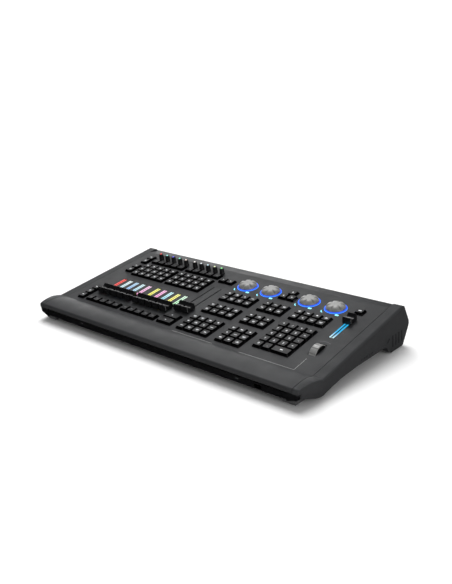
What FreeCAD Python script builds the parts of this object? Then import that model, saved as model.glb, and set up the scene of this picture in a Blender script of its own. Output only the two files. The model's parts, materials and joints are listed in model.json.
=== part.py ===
import FreeCAD, Part
import math
import os
import re
import Sketcher

# Lighting control desk. Row frame: +X to the operator's right, +Y away from the operator,
# +Z up, origin on the floor under the middle of the desk's outline.
# Two helper frames are used below:
#   side view  - y towards the back and z up, both from the fold between palm rest and panel;
#   panel frame - u along X, v up the sloping panel from the fold, n out of the panel.

os.makedirs("parts", exist_ok=True)
doc = FreeCAD.newDocument("LightingDesk")
sheet = doc.addObject("Spreadsheet::Sheet", "Desk")

# Driving dimensions, millimetres and degrees: alias, value, meaning.
DIMENSIONS = [
    ("inner_width", 612.0, "distance between the two cheeks"),
    ("cheek_width", 20.5, "thickness of a cheek"),
    ("overall_depth", 357.5, "front edge of the palm rest to the back of the cheeks"),
    ("seam_gap", 0.3, "gap along a hidden seam or round a light guide"),
    ("side_gap", 0.8, "gap between the cover and a cheek"),
    ("sheet_thick", 2.0, "thickness of the metal shells"),
    ("fold_height", 34.0, "floor to the fold line"),
    ("panel_tilt", 10.0, "slope of the control panel"),
    ("panel_run", 253.8, "length of the sloping panel"),
    ("palm_depth", 58.5, "palm rest, front to back"),
    ("palm_crown", 3.5, "rise of the palm rest's crown"),
    ("lip_radius", 4.0, "front edge radius of the palm rest"),
    ("lip_drop", 8.5, "fold line to the bottom of the front lip"),
    ("strip_depth", 26.7, "flat strip behind the panel"),
    ("strip_drop", 0.7, "fall of the strip towards the back"),
    ("hem_height", 8.0, "turned-down hem at the back"),
    ("tray_drop", 25.0, "fold line to the underside of the base tray"),
    ("tray_front", 48.0, "fold line to the front wall of the base tray"),
    ("tray_back", 271.0, "fold line to the back end of the base tray"),
    ("key_pitch", 19.05, "key spacing both ways"),
    ("key_base", 18.4, "side of a key's skirt"),
    ("key_skirt_top", 0.8, "straight part of the skirt above the panel"),
    ("key_skirt_depth", 3.0, "skirt below the panel face"),
    ("key_cap_height", 4.2, "height of the tapered cap"),
    ("key_inset", 2.5, "taper of the cap on each side"),
    ("stem_side", 6.0, "side of a key's stem"),
    ("stem_length", 3.6, "stem below the skirt"),
    ("window_gap", 0.4, "gap between a key block and its window"),
    ("group_gap", 6.6, "extra space between the two playback groups"),
    ("board_depth", 9.0, "panel face to the top of the key boards"),
    ("board_thick", 1.6, "thickness of a circuit board"),
    ("playback_x", -247.3, "first playback column"),
    ("playback_v", 58.5, "playback fader at its low end"),
    ("playback_travel", 60.0, "travel of a playback fader"),
    ("guide_width", 9.0, "width of a lit fader track"),
    ("guide_low", 50.0, "front end of the lit track"),
    ("guide_high", 121.7, "back end of the lit track"),
    ("tang_thick", 1.0, "thickness of a fader's tang"),
    ("tang_slot", 1.4, "slot for the tang"),
    ("tang_run", 3.0, "length of the tang along the slot"),
    ("tang_depth", 8.0, "tang below the panel face"),
    ("slot_end_gap", 0.5, "free slot beyond the tang at each end"),
    ("master_x", -44.1, "first master fader"),
    ("master_v", 73.3, "master fader at its low end"),
    ("master_travel", 100.0, "travel of a master fader"),
    ("master_slot", 2.6, "width of the master slots in the panel"),
    ("grand_x", 270.0, "axis of the grand master and the level wheel"),
    ("grand_v", 177.6, "grand master at its high end"),
    ("grand_travel", 60.0, "travel of the grand master"),
    ("grand_guide_width", 10.0, "width over both lit bars"),
    ("grand_slot", 3.0, "dark slot between the lit bars"),
    ("cap_run", 24.0, "fader cap along its travel"),
    ("cap_width", 16.5, "fader cap across its travel"),
    ("cap_height", 14.0, "fader cap at its crests"),
    ("cap_saddle", 8.2, "fader cap at its saddle"),
    ("cap_gap", 1.5, "gap below a fader cap"),
    ("cap_crest", 2.5, "drop of the cap's ends below its crests"),
    ("cap_crest_run", 2.0, "slope of the cap's ends along the travel"),
    ("fader_width", 9.0, "fader case across"),
    ("fader_depth", 12.0, "fader case depth"),
    ("fader_margin", 25.0, "fader case length beyond the travel"),
    ("case_drop", 2.4, "panel face to the top of the cases below it"),
    ("encoder_v", 210.0, "row of the four large encoders"),
    ("ring_radius", 21.7, "outer radius of a light ring"),
    ("ring_bore", 5.0, "shaft hole in a light ring"),
    ("ring_proud", 0.4, "light ring above the panel"),
    ("cut_margin", 1.0, "how far a cutting shape passes a face"),
    ("dial_radius", 19.0, "large encoder knob"),
    ("dial_height", 9.6, "top of the large knob above the panel"),
    ("dial_gap", 1.2, "gap below the large knob"),
    ("dial_skirt", 1.8, "straight side of the large knob"),
    ("dial_shoulder", 4.5, "large knob's rim to the edge of its top"),
    ("dial_crown", 8.0, "large knob's rim to the flat of its top"),
    ("dial_crown_drop", 0.6, "fall of the top outside its flat"),
    ("dial_round_in", 1.4, "middle of the shoulder's arc, in from the rim"),
    ("dial_round_drop", 3.2, "middle of the shoulder's arc, below the top"),
    ("shaft_radius", 3.0, "encoder shaft"),
    ("shaft_bore", 3.08, "bore for an encoder shaft"),
    ("shaft_depth", 9.0, "shaft below the panel face"),
    ("flute_radius", 5.0, "radius of a flute cut in the large knob"),
    ("flute_offset", 21.5, "knob axis to a flute's axis"),
    ("flute_floor", 3.6, "height where the flutes end"),
    ("flute_count", 6.0, "flutes around the large knob"),
    ("knob_v", 233.0, "row of the small lit knobs"),
    ("knob_radius", 5.8, "small knob"),
    ("knob_height", 15.0, "top of a small knob above the panel"),
    ("knob_hole", 3.6, "radius of a small knob's hole in the panel"),
    ("knob_gap", 1.0, "gap below a small knob"),
    ("knob_edge", 3.0, "height of the slope at a small knob's top"),
    ("knob_edge_in", 1.2, "width of the slope at a small knob's top"),
    ("wheel_v", 70.0, "level wheel's axle"),
    ("wheel_radius", 21.0, "level wheel"),
    ("wheel_width", 13.5, "level wheel"),
    ("wheel_proud", 8.5, "level wheel above the panel"),
    ("wheel_edge", 1.0, "chamfer of the level wheel's rim"),
    ("wheel_side_room", 0.8, "opening beside the level wheel"),
    ("wheel_end_room", 3.0, "opening before and behind the level wheel"),
    ("bracket_thick", 2.0, "plate that carries the wheel's axle"),
    ("bracket_length", 16.0, "plate that carries the wheel's axle"),
    ("bracket_height", 20.0, "plate that carries the wheel's axle"),
    ("bracket_room", 1.0, "gap between the wheel and a plate"),
    ("axle_radius", 2.5, "level wheel's axle"),
    ("axle_bore", 2.56, "bore for the axle"),
    ("axle_length", 20.0, "level wheel's axle"),
    ("usb_x", 238.0, "front socket"),
    ("usb_drop", 18.5, "fold line to the middle of the front socket"),
    ("usb_width", 13.1, "front socket shell"),
    ("usb_height", 5.7, "front socket shell"),
    ("usb_depth", 14.0, "front socket shell"),
    ("usb_wall", 0.4, "front socket shell wall"),
    ("usb_face", 55.3, "fold line to the front socket's mouth"),
    ("usb_back", 2.0, "thickness of the front socket's back"),
    ("usb_room", 0.3, "gap round the front socket in the rail"),
    ("usb_wide_room", 1.0, "gap round the front socket in the tray"),
    ("tongue_inset", 1.5, "contact tongue behind the mouth and inside each side"),
    ("tongue_rise", 0.9, "contact tongue above the socket's middle"),
    ("tongue_thick", 1.6, "contact tongue"),
    ("cheek_round_radius", 4.0, "round on the cheek's top outer edge"),
    ("cheek_wall", 3.5, "wall left outside the cheek's hollow"),
    ("taper_start", 8.0, "nose taper's start behind the fold line"),
    ("taper_bulge", 24.0, "middle of the nose taper ahead of the fold line"),
    ("taper_bulge_in", 3.6, "inward set of the taper at its middle"),
    ("taper_tip_in", 10.5, "inward set of the taper at the nose"),
    ("vent_first", 233.0, "first cooling slot at its top"),
    ("vent_pitch", 12.0, "spacing of the cooling slots"),
    ("vent_low", -23.5, "bottom of the cooling slots"),
    ("vent_slant", 4.0, "lean of a cooling slot"),
    ("vent_width", 3.2, "width of a cooling slot"),
    ("slit_first", 118.0, "first small slit"),
    ("slit_pitch", 9.0, "spacing of the small slits"),
    ("slit_low", -10.4, "bottom of the small slits"),
    ("slit_high", -6.6, "top of the small slits"),
    ("slit_slant", 3.0, "lean of a small slit"),
    ("slit_width", 2.6, "width of a small slit"),
    ("vent_depth", 5.0, "depth of the slots' cut"),
    ("foot_drop", 1.0, "cheek underside to the floor at the back"),
    ("foot_inset", 11.0, "front foot's middle inside the cheek's inner face"),
    ("foot_forward", 37.0, "fold line to the middle of a front foot"),
    ("foot_width", 26.0, "front foot across the desk"),
    ("foot_length", 24.0, "front foot, front to back"),
    ("foot_edge", 3.0, "chamfer round a front foot"),
    ("heel_back", 256.5, "fold line to the middle of a heel pad"),
    ("heel_width", 12.0, "heel pad across the desk"),
    ("heel_length", 36.0, "heel pad, front to back"),
    ("heel_depth", 2.0, "depth of a heel pad's seat"),
    ("heel_room", 0.2, "gap round a heel pad in its seat"),
    ("block_front", 57.6, "fold line to the front of a corner block"),
    ("block_back", 50.4, "fold line to the back of a corner block"),
    ("block_inset", 11.0, "corner block inside the cheek's inner face"),
    ("block_reach", 9.6, "corner block outside the cheek's inner face"),
    ("block_tuck", 1.0, "how far the block's outer side leans in"),
    ("block_top", 9.1, "fold line to the top of a corner block"),
    ("block_side_low", 17.2, "fold line to the low end of the block's outer side"),
    ("rail_inset", 11.4, "end of the front rail inside the cheek's inner face"),
    ("board_end_room", 3.0, "groove of a fader case beyond the travel"),
    ("screw_hole", 1.7, "radius of a screw hole"),
    ("screw_shank", 1.5, "radius of a case screw"),
    ("screw_length", 6.0, "case screw below its head"),
    ("screw_head", 3.0, "radius of a screw head"),
    ("screw_face", 2.2, "radius of the flat of a screw head"),
    ("screw_rise", 1.8, "height of a screw head"),
    ("screw_edge", 1.1, "height of the side of a screw head"),
    ("socket_z", 40.0, "floor to the middle of the rear sockets"),
    ("outlet_plate_width", 26.0, "flange of a round data outlet"),
    ("outlet_plate_height", 31.0, "flange of a round data outlet"),
    ("outlet_plate_thick", 2.0, "flange of a round data outlet"),
    ("outlet_radius", 11.6, "barrel of a round data outlet"),
    ("outlet_length", 22.0, "barrel of a round data outlet"),
    ("outlet_hole", 11.9, "hole in the rear panel for a data outlet"),
    ("groove_outer", 9.4, "ring groove of a data outlet"),
    ("groove_inner", 8.4, "ring groove of a data outlet"),
    ("groove_depth", 8.0, "ring groove of a data outlet"),
    ("network_width", 16.0, "network socket"),
    ("network_height", 14.0, "network socket"),
    ("network_mouth_width", 11.8, "network socket's mouth"),
    ("network_mouth_height", 8.4, "network socket's mouth"),
    ("network_depth", 13.0, "network socket's mouth"),
    ("mains_width", 27.0, "mains inlet"),
    ("mains_height", 20.0, "mains inlet"),
    ("mains_mouth_width", 23.0, "mains inlet's mouth"),
    ("mains_mouth_height", 16.0, "mains inlet's mouth"),
    ("mains_depth", 14.0, "mains inlet's mouth"),
    ("socket_plate_thick", 1.5, "flange of a square socket"),
    ("socket_plate_side", 3.0, "flange beyond a square socket's sides"),
    ("socket_plate_end", 2.0, "flange beyond a square socket's top and bottom"),
    ("socket_length", 20.0, "housing of a square socket"),
    ("socket_room", 0.2, "gap round a square socket in the rear panel"),
    ("main_board_lift", 6.0, "tray floor to the underside of the main board"),
]

# Key grids of each key bank: first column u, front row v, columns, rows, key units across.
SECOND_GROUP = -145.45
KEY_BANKS = {
    "left_column_keys": [(-273.0, 20.3, 1, 3, 1), (-273.0, 158.0, 1, 2, 1), (-273.0, 206.5, 1, 2, 1)],
    "select_keys": [(-247.3, 216.0, 5, 1, 1), (SECOND_GROUP, 216.0, 5, 1, 1)],
    "execute_keys": [(-247.3, 150.6, 5, 3, 1), (SECOND_GROUP, 150.6, 5, 3, 1)],
    "flash_keys": [(-247.3, 20.3, 5, 1, 1), (SECOND_GROUP, 20.3, 5, 1, 1)],
    "master_keys": [(-44.1, 207.0, 2, 1, 1), (-34.6, 20.3, 1, 2, 2)],
    "arrow_keys": [(109.9, 203.0, 2, 1, 1), (119.4, 222.05, 1, 1, 1)],
    "left_upper_keys": [(8.1, 144.0, 4, 2, 1)],
    "left_middle_keys": [(8.1, 91.2, 4, 2, 1)],
    "left_lower_keys": [(8.1, 18.9, 4, 3, 1)],
    "centre_upper_keys": [(101.1, 144.0, 3, 2, 1)],
    "centre_middle_keys": [(101.1, 91.2, 3, 2, 1)],
    "centre_lower_keys": [(101.1, 18.9, 3, 3, 1)],
    "right_upper_keys": [(173.6, 144.0, 4, 2, 1)],
    "number_keys": [(173.6, 35.1, 2, 1, 1), (221.2, 35.1, 1, 1, 2), (173.6, 54.15, 4, 4, 1)],
    "menu_key": [(270.0, 215.0, 1, 1, 1)],
}

# Columns of the large encoders, and the circuit boards under the keys as (u, v) boxes.
ENCODER_COLUMNS = [17.0, 74.0, 164.0, 222.0]
KEY_BOARDS = [
    (-290.0, 5.0, -62.0, 44.0),
    (-290.0, 44.0, -256.5, 70.0),
    (-60.0, 5.0, -8.0, 52.0),
    (-290.0, 140.0, -60.0, 225.5),
    (-56.0, 193.0, -12.0, 222.0),
    (-4.0, 6.0, 250.0, 176.0),
    (96.0, 190.0, 143.0, 236.0),
    (257.0, 202.0, 283.0, 230.0),
]

# Rear panel fittings and screws, row-frame X, Y or Z in millimetres.
DATA_SOCKETS = [-60.0, -20.0]
NETWORK_X = 30.0
MAINS_X = -180.0
BOTTOM_SCREWS = [(x, y) for x in (-270.0, 0.0, 270.0) for y in (-140.0, 130.0)]
REAR_SCREWS = [(x, z) for x in (-290.0, 290.0) for z in (20.0, 62.0)]

# Blocks on the tray floor: length, width, height, middle X, low Y, underside above the floor.
MAIN_BLOCKS = {
    "main_circuit": (150.0, 100.0, 1.6, 20.0, 10.0, 6.0),
    "heat_sink": (40.0, 40.0, 10.0, 20.0, 40.0, 7.6),
    "power_supply": (110.0, 70.0, 24.0, -190.0, 30.0, 0.0),
}
SPACERS = [(x, y) for x in (-50.0, 90.0) for y in (12.0, 102.0)]
SPACER_SIDE = 6.0

# Sides of the square cases under the panel.
DIAL_CASE_SIDE = 16.0
KNOB_CASE_SIDE = 11.0

# Slot counts in a cheek, and the limits used to find the edges to round.
VENT_COUNT = 4
SLIT_COUNT = 5
TOP_SLOPE = 0.1
TOP_END = 270.0
LONG_EDGE = 20.0
NEAR = 0.1

# PartDesign reads this spacing as "use the pattern's own offset".
EVEN_STEP = -1.0

# Side view of a cheek: (y, z) from the fold line, going round from the nose.
CHEEK_OUTLINE = {
    "nose_top": (-54.5, 0.0),
    "crown": (-29.0, 3.5),
    "fold": (0.0, 0.0),
    "back_top": (268.0, 47.25),
    "back_corner": (273.5, 46.0),
    "back_upper": (296.5, 13.5),
    "back_middle": (299.0, 5.5),
    "back_lower": (297.7, -0.4),
    "heel": (282.0, -31.5),
    "heel_corner": (279.5, -33.0),
    "toe": (234.0, -33.0),
    "toe_corner": (221.0, -27.0),
    "notch_middle": (211.5, -17.0),
    "arch_back": (202.0, -15.0),
    "arch_front": (108.0, -15.0),
    "ramp_upper": (60.0, -17.4),
    "ramp_lower": (27.5, -22.0),
    "knee_back": (6.0, -26.3),
    "knee": (-8.0, -28.2),
    "knee_front": (-20.0, -26.3),
    "chin_back": (-50.2, -17.0),
    "chin_step": (-50.2, -8.9),
    "nose_bottom": (-58.5, -8.9),
    "nose_front": (-58.5, -4.0),
    "nose_round": (-57.33, -1.17),
}

# Hollow on the inner side of a cheek, same frame.
CHEEK_HOLLOW = {
    "hollow_front": (8.0, -1.5),
    "hollow_top": (262.0, 43.3),
    "hollow_back": (289.0, 6.0),
    "hollow_heel": (277.0, -27.0),
    "hollow_toe": (237.0, -27.0),
    "hollow_arch": (212.0, -11.0),
    "hollow_low": (100.0, -11.0),
    "hollow_ramp": (30.0, -17.0),
    "hollow_knee": (8.0, -21.0),
}

# Short slot between the cooling slots and the arch, and the front rail's section, same frame.
VENT_CORNER = {
    "gill_front": (213.0, -9.0),
    "gill_low": (216.5, -9.0),
    "gill_back": (223.5, -2.0),
    "gill_high": (220.0, -2.0),
}
RAIL_OUTLINE = {
    "rail_top_back": (-50.0, -9.0),
    "rail_top_front": (-53.5, -9.0),
    "rail_ledge_back": (-53.5, -12.2),
    "rail_ledge_front": (-55.5, -12.2),
    "rail_face_low": (-55.5, -22.0),
    "rail_chin": (-52.5, -25.0),
    "rail_low_back": (-50.0, -25.0),
}

aliases = set()
FOLD_Y = "(palm_depth - overall_depth / 2)"
FOLD_Z = "fold_height"
PANEL_END_Y = "panel_run * cos(panel_tilt)"
PANEL_END_Z = "panel_run * sin(panel_tilt)"
CHEEK_FACE = "(inner_width / 2 + cheek_width)"
TANG_REACH = "(tang_run / 2 + slot_end_gap)"
REAR_FACE = f"-({FOLD_Y}) - tray_back - sheet_thick"
TILT_AXIS = FreeCAD.Vector(1, 0, 0)
START_TILT = 10.0


def add_cell(alias, value, note):
    """Put one plain number in the sheet under an alias."""
    row = len(aliases) + 1
    aliases.add(alias)
    sheet.set(f"A{row}", alias.replace("_", " "))
    sheet.set(f"B{row}", repr(float(value)))
    sheet.set(f"C{row}", note)
    sheet.setAlias(f"B{row}", alias)


def fill_sheet():
    """Write every driving dimension and outline point to the sheet."""
    for alias, value, note in DIMENSIONS:
        add_cell(alias, value, note)
    for outline in (CHEEK_OUTLINE, CHEEK_HOLLOW, VENT_CORNER, RAIL_OUTLINE):
        for name, (y, z) in outline.items():
            add_cell(f"{name}_y", y, "towards the back from the fold line")
            add_cell(f"{name}_z", z, "up from the fold line")
    doc.recompute()


def bound(text):
    """Prefix each alias in an expression with the sheet's name."""
    def prefix(match):
        word = match.group(0)
        return f"Desk.{word}" if word in aliases else word
    return re.sub(r"[a-z][a-z_]*", prefix, str(text))


def value(text):
    """Number that an expression gives now."""
    return float(sheet.evalExpression(bound(text).replace("Desk.", "")))


def bind(target, **properties):
    """Bind properties of an object to expressions."""
    for name, text in properties.items():
        target.setExpression(name, bound(text))


def place(target, x="0", y="0", z="0", tilt="0"):
    """Bind a placement: position in the row frame and a turn about X."""
    target.Placement = FreeCAD.Placement(
        FreeCAD.Vector(0, 0, 0), FreeCAD.Rotation(TILT_AXIS, START_TILT)
    )
    target.setExpression("Placement.Base.x", bound(x))
    target.setExpression("Placement.Base.y", bound(y))
    target.setExpression("Placement.Base.z", bound(z))
    target.setExpression("Placement.Rotation.Angle", bound(tilt))


def place_on_panel(target, u="0", v="0", n="0"):
    """Bind a placement in the panel frame."""
    along = f"{FOLD_Y} + ({v}) * cos(panel_tilt) - ({n}) * sin(panel_tilt)"
    height = f"{FOLD_Z} + ({v}) * sin(panel_tilt) + ({n}) * cos(panel_tilt)"
    place(target, u, along, height, "panel_tilt")


def side(y, z):
    """Row-frame (Y, Z) of a point of the side view."""
    return (f"{FOLD_Y} + ({y})", f"{FOLD_Z} + ({z})")


def outline_point(name):
    """Row-frame (Y, Z) of a named outline point."""
    return side(f"{name}_y", f"{name}_z")


def new_body(label):
    """Empty PartDesign body that may hold separate solids."""
    body = doc.addObject("PartDesign::Body", label)
    body.Label = label
    body.AllowCompound = True
    return body


def origin_feature(body, role):
    """Origin plane or axis of a body by its role."""
    return next(item for item in body.Origin.OriginFeatures if item.Role == role)


def new_sketch(body, name, plane="XY_Plane", lift="0"):
    """Sketch on one of the body's origin planes, lifted along its normal."""
    sketch = body.newObject("Sketcher::SketchObject", name)
    sketch.AttachmentSupport = [(origin_feature(body, plane), "")]
    sketch.MapMode = "FlatFace"
    sketch.setExpression("AttachmentOffset.Base.z", bound(lift))
    return sketch


def fix_point(sketch, geometry, position, point):
    """Hold a sketch point at a pair of expressions."""
    for kind, text in (("DistanceX", point[0]), ("DistanceY", point[1])):
        index = sketch.addConstraint(
            Sketcher.Constraint(kind, -1, 1, geometry, position, value(text))
        )
        sketch.setExpression(f"Constraints[{index}]", bound(text))


def arc_through(start, middle, finish):
    """Counter-clockwise arc through three points, and which of its ends is the start."""
    circle = Part.Arc(start, middle, finish).toShape().Curve
    centre = circle.Center
    angles = [math.atan2(point.y - centre.y, point.x - centre.x) for point in (start, finish)]
    turn = (middle - start).cross(finish - middle).z
    low, high = angles if turn > 0 else reversed(angles)
    if high < low:
        high += 2 * math.pi
    base = Part.Circle(centre, FreeCAD.Vector(0, 0, 1), circle.Radius)
    return Part.ArcOfCircle(base, low, high), 1 if turn > 0 else 2


def add_outline(sketch, corners, arcs=None):
    """Closed outline through corners; arcs maps a corner to the point its arc passes on the way."""
    arcs = arcs or {}
    points = [FreeCAD.Vector(value(x), value(y), 0) for x, y in corners]
    ends = []
    for index, start in enumerate(points):
        finish = points[(index + 1) % len(points)]
        if index in arcs:
            middle = FreeCAD.Vector(value(arcs[index][0]), value(arcs[index][1]), 0)
            arc, first = arc_through(start, middle, finish)
            number = sketch.addGeometry(arc, False)
        else:
            number = sketch.addGeometry(Part.LineSegment(start, finish), False)
            first = 1
        ends.append((number, first, 3 - first))
    for index, (number, first, _) in enumerate(ends):
        previous = ends[index - 1]
        sketch.addConstraint(Sketcher.Constraint("Coincident", previous[0], previous[2], number, first))
        fix_point(sketch, number, first, corners[index])
    for index, point in arcs.items():
        spot = FreeCAD.Vector(value(point[0]), value(point[1]), 0)
        mark = sketch.addGeometry(Part.Point(spot), True)
        fix_point(sketch, mark, 1, point)
        sketch.addConstraint(Sketcher.Constraint("PointOnObject", mark, 1, ends[index][0]))


def add_box(sketch, low_x, low_y, high_x, high_y):
    """Rectangle between two corners given as expressions."""
    add_outline(sketch, [(low_x, low_y), (high_x, low_y), (high_x, high_y), (low_x, high_y)])


def add_centred_box(sketch, x, y, width, height):
    """Rectangle about a centre."""
    add_box(
        sketch,
        f"{x} - ({width}) / 2",
        f"{y} - ({height}) / 2",
        f"{x} + ({width}) / 2",
        f"{y} + ({height}) / 2",
    )


def add_circle(sketch, x, y, radius):
    """Circle held by its centre and radius."""
    centre = FreeCAD.Vector(value(x), value(y), 0)
    circle = Part.Circle(centre, FreeCAD.Vector(0, 0, 1), value(radius))
    number = sketch.addGeometry(circle, False)
    fix_point(sketch, number, 3, (x, y))
    index = sketch.addConstraint(Sketcher.Constraint("Radius", number, value(radius)))
    sketch.setExpression(f"Constraints[{index}]", bound(radius))


def add_pad(body, sketch, name, length, side_type="One side", reverse=False, taper=None):
    """Pad a sketch."""
    pad = body.newObject("PartDesign::Pad", name)
    pad.Profile = sketch
    pad.SideType = side_type
    pad.Reversed = reverse
    bind(pad, Length=length)
    if taper:
        bind(pad, TaperAngle=taper)
    return pad


def add_pocket(body, sketch, name, length, side_type="One side", reverse=False):
    """Pocket a sketch, and make sure that it removes material."""
    doc.recompute()
    before = body.Shape.Volume
    pocket = body.newObject("PartDesign::Pocket", name)
    pocket.Profile = sketch
    pocket.SideType = side_type
    pocket.Reversed = reverse
    bind(pocket, Length=length)
    doc.recompute()
    if not body.Shape.Volume < before - 1e-3:
        raise RuntimeError(f"{body.Label}: {name} removes nothing")
    return pocket


def part_box(name, size, at, on_panel=True):
    """Part box centred in u on its place, its low v and its top n given."""
    box = doc.addObject("Part::Box", name)
    bind(box, Length=size[0], Width=size[1], Height=size[2])
    put = place_on_panel if on_panel else place
    put(box, f"{at[0]} - ({size[0]}) / 2", at[1], f"{at[2]} - ({size[2]})")
    return box


def part_cylinder(name, radius, height, at):
    """Part cylinder square to the panel, its top n given."""
    cylinder = doc.addObject("Part::Cylinder", name)
    bind(cylinder, Radius=radius, Height=height)
    place_on_panel(cylinder, at[0], at[1], f"{at[2]} - ({height})")
    return cylinder


def part_cut(name, base, tool):
    """Base minus tool."""
    cut = doc.addObject("Part::Cut", name)
    cut.Base = base
    cut.Tool = tool
    return cut


def group(label, members):
    """Several separate solids kept together as one sub-part."""
    compound = doc.addObject("Part::Compound", label)
    compound.Label = label
    compound.Links = members
    return compound


def mirrored(label, source):
    """Left-hand twin of a right-hand sub-part."""
    twin = doc.addObject("Part::Mirroring", label)
    twin.Label = label
    twin.Source = source
    twin.Normal = FreeCAD.Vector(1, 0, 0)
    return twin


def playback_columns():
    """Expressions for the ten playback columns."""
    columns = []
    for index in range(10):
        extra = " + group_gap" if index >= 5 else ""
        columns.append(f"playback_x + {index} * key_pitch{extra}")
    return columns


def make_top_panel():
    """Bent cover: front lip, crowned palm rest, sloping panel, flat strip and hem."""
    body = new_body("top_panel")
    profile = new_sketch(body, "panel_profile", "YZ_Plane")
    round_in = "lip_radius * (1 - sqrt(0.5))"
    inner_round = "sheet_thick + (lip_radius - sheet_thick) * (1 - sqrt(0.5))"
    middle = "(lip_radius - palm_depth) / 2"
    strip_y = f"{PANEL_END_Y} + strip_depth"
    strip_z = f"{PANEL_END_Z} - strip_drop"
    corners = [
        side("-palm_depth", "-lip_drop"),
        side("-palm_depth", "-lip_radius"),
        side("lip_radius - palm_depth", "0"),
        side("0", "0"),
        side(PANEL_END_Y, PANEL_END_Z),
        side(strip_y, strip_z),
        side(strip_y, f"{strip_z} - hem_height"),
        side(f"{strip_y} - sheet_thick", f"{strip_z} - hem_height"),
        side(f"{strip_y} - sheet_thick", f"{strip_z} - sheet_thick"),
        side(PANEL_END_Y, f"{PANEL_END_Z} - sheet_thick"),
        side("0", "-sheet_thick"),
        side("lip_radius - palm_depth", "-sheet_thick"),
        side("sheet_thick - palm_depth", "-lip_radius"),
        side("sheet_thick - palm_depth", "-lip_drop"),
    ]
    arcs = {
        1: side(f"-palm_depth + {round_in}", f"-({round_in})"),
        2: side(middle, "palm_crown"),
        10: side(middle, "palm_crown - sheet_thick"),
        11: side(f"-palm_depth + {inner_round}", f"-({inner_round})"),
    }
    add_outline(profile, corners, arcs)
    add_pad(body, profile, "panel_sheet", "inner_width - 2 * side_gap", "Symmetric")
    cut_panel(body, "key_windows", draw_key_windows)
    cut_panel(body, "fader_windows", draw_fader_windows)
    cut_panel(body, "round_windows", draw_round_windows)
    return body


def cut_panel(body, name, draw):
    """Cut openings through the sloping panel."""
    sketch = new_sketch(body, f"{name}_sketch")
    sketch.AttachmentOffset = FreeCAD.Placement(
        FreeCAD.Vector(0, 0, 0), FreeCAD.Rotation(TILT_AXIS, START_TILT)
    )
    sketch.setExpression("AttachmentOffset.Base.y", bound(FOLD_Y))
    sketch.setExpression("AttachmentOffset.Base.z", bound(FOLD_Z))
    sketch.setExpression("AttachmentOffset.Rotation.Angle", bound("panel_tilt"))
    draw(sketch)
    add_pocket(body, sketch, name, "4 * sheet_thick", "Symmetric")


def draw_key_windows(sketch):
    """One window for each block of keys; blocks that meet share one."""
    for bank, grids in KEY_BANKS.items():
        if bank in ("arrow_keys", "number_keys"):
            continue
        for grid in grids:
            add_box(sketch, *window_corners(grid))
    # The number block is one window over its three grids.
    number = KEY_BANKS["number_keys"]
    first = window_corners(number[0])
    last = window_corners(number[2])
    add_box(sketch, first[0], first[1], last[2], last[3])
    # The arrow keys' window is stepped, narrow at the back.
    front = window_corners(KEY_BANKS["arrow_keys"][0])
    back = window_corners(KEY_BANKS["arrow_keys"][1])
    steps = [
        (front[0], front[1]),
        (front[2], front[1]),
        (front[2], front[3]),
        (back[2], front[3]),
        (back[2], back[3]),
        (back[0], back[3]),
        (back[0], front[3]),
        (front[0], front[3]),
    ]
    add_outline(sketch, steps)


def window_corners(grid):
    """Low and high corners, in the panel frame, of the window round a grid of keys."""
    u, v, columns, rows, units = grid
    margin = "(key_base / 2 + window_gap)"
    reach = f"({(units - 1) / 2} * key_pitch + {margin})"
    low = (f"{u} - {reach}", f"{v} - {margin}")
    high = (f"{u} + {columns - 1} * key_pitch + {reach}", f"{v} + {rows - 1} * key_pitch + {margin}")
    return low + high


def draw_fader_windows(sketch):
    """Windows for the light guides, slots for the masters and the wheel's opening."""
    half_guide = "(guide_width / 2 + seam_gap)"
    for u in playback_columns():
        low = (f"{u} - {half_guide}", "guide_low - seam_gap")
        add_box(sketch, *low, f"{u} + {half_guide}", "guide_high + seam_gap")
    for index in range(2):
        u = f"master_x + {index} * key_pitch"
        low = (f"{u} - master_slot / 2", f"master_v - {TANG_REACH}")
        add_box(sketch, *low, f"{u} + master_slot / 2", f"master_v + master_travel + {TANG_REACH}")
    half_guide = "(grand_guide_width / 2 + seam_gap)"
    end = f"({TANG_REACH} + cut_margin + seam_gap)"
    low = (f"grand_x - {half_guide}", f"grand_v - grand_travel - {end}")
    add_box(sketch, *low, f"grand_x + {half_guide}", f"grand_v + {end}")
    centre_drop = "(wheel_radius - wheel_proud)"
    chord = f"sqrt(wheel_radius * wheel_radius - {centre_drop} * {centre_drop})"
    width = "wheel_width + 2 * wheel_side_room"
    add_centred_box(sketch, "grand_x", "wheel_v", width, f"2 * ({chord} + wheel_end_room)")


def draw_round_windows(sketch):
    """Round openings for the light rings and the small knobs' shafts."""
    for u in ENCODER_COLUMNS:
        add_circle(sketch, str(u), "encoder_v", "ring_radius + seam_gap")
    for u in playback_columns():
        add_circle(sketch, u, "knob_v", "knob_hole")


def make_cheek():
    """Right-hand end cheek: moulded shell with a carrying gap below and vents at the back."""
    body = new_body("cheek_right")
    profile = new_sketch(body, "cheek_profile", "YZ_Plane", "inner_width / 2")
    names = list(CHEEK_OUTLINE)
    through = {"crown", "back_middle", "notch_middle", "knee", "nose_round"}
    corners = [outline_point(name) for name in names if name not in through]
    kept = [name for name in names if name not in through]
    arcs = {}
    for name in through:
        before = names[names.index(name) - 1]
        arcs[kept.index(before)] = outline_point(name)
    add_outline(profile, corners, arcs)
    add_pad(body, profile, "cheek_block", "cheek_width")
    soften_cheek(body)
    hollow = new_sketch(body, "cheek_hollow", "YZ_Plane", "inner_width / 2")
    add_outline(hollow, [outline_point(name) for name in CHEEK_HOLLOW])
    add_pocket(body, hollow, "cheek_inside", "cheek_width - cheek_wall", reverse=True)
    cut_nose_taper(body)
    cut_vents(body)
    cut_foot_seat(body)
    return body


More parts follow.
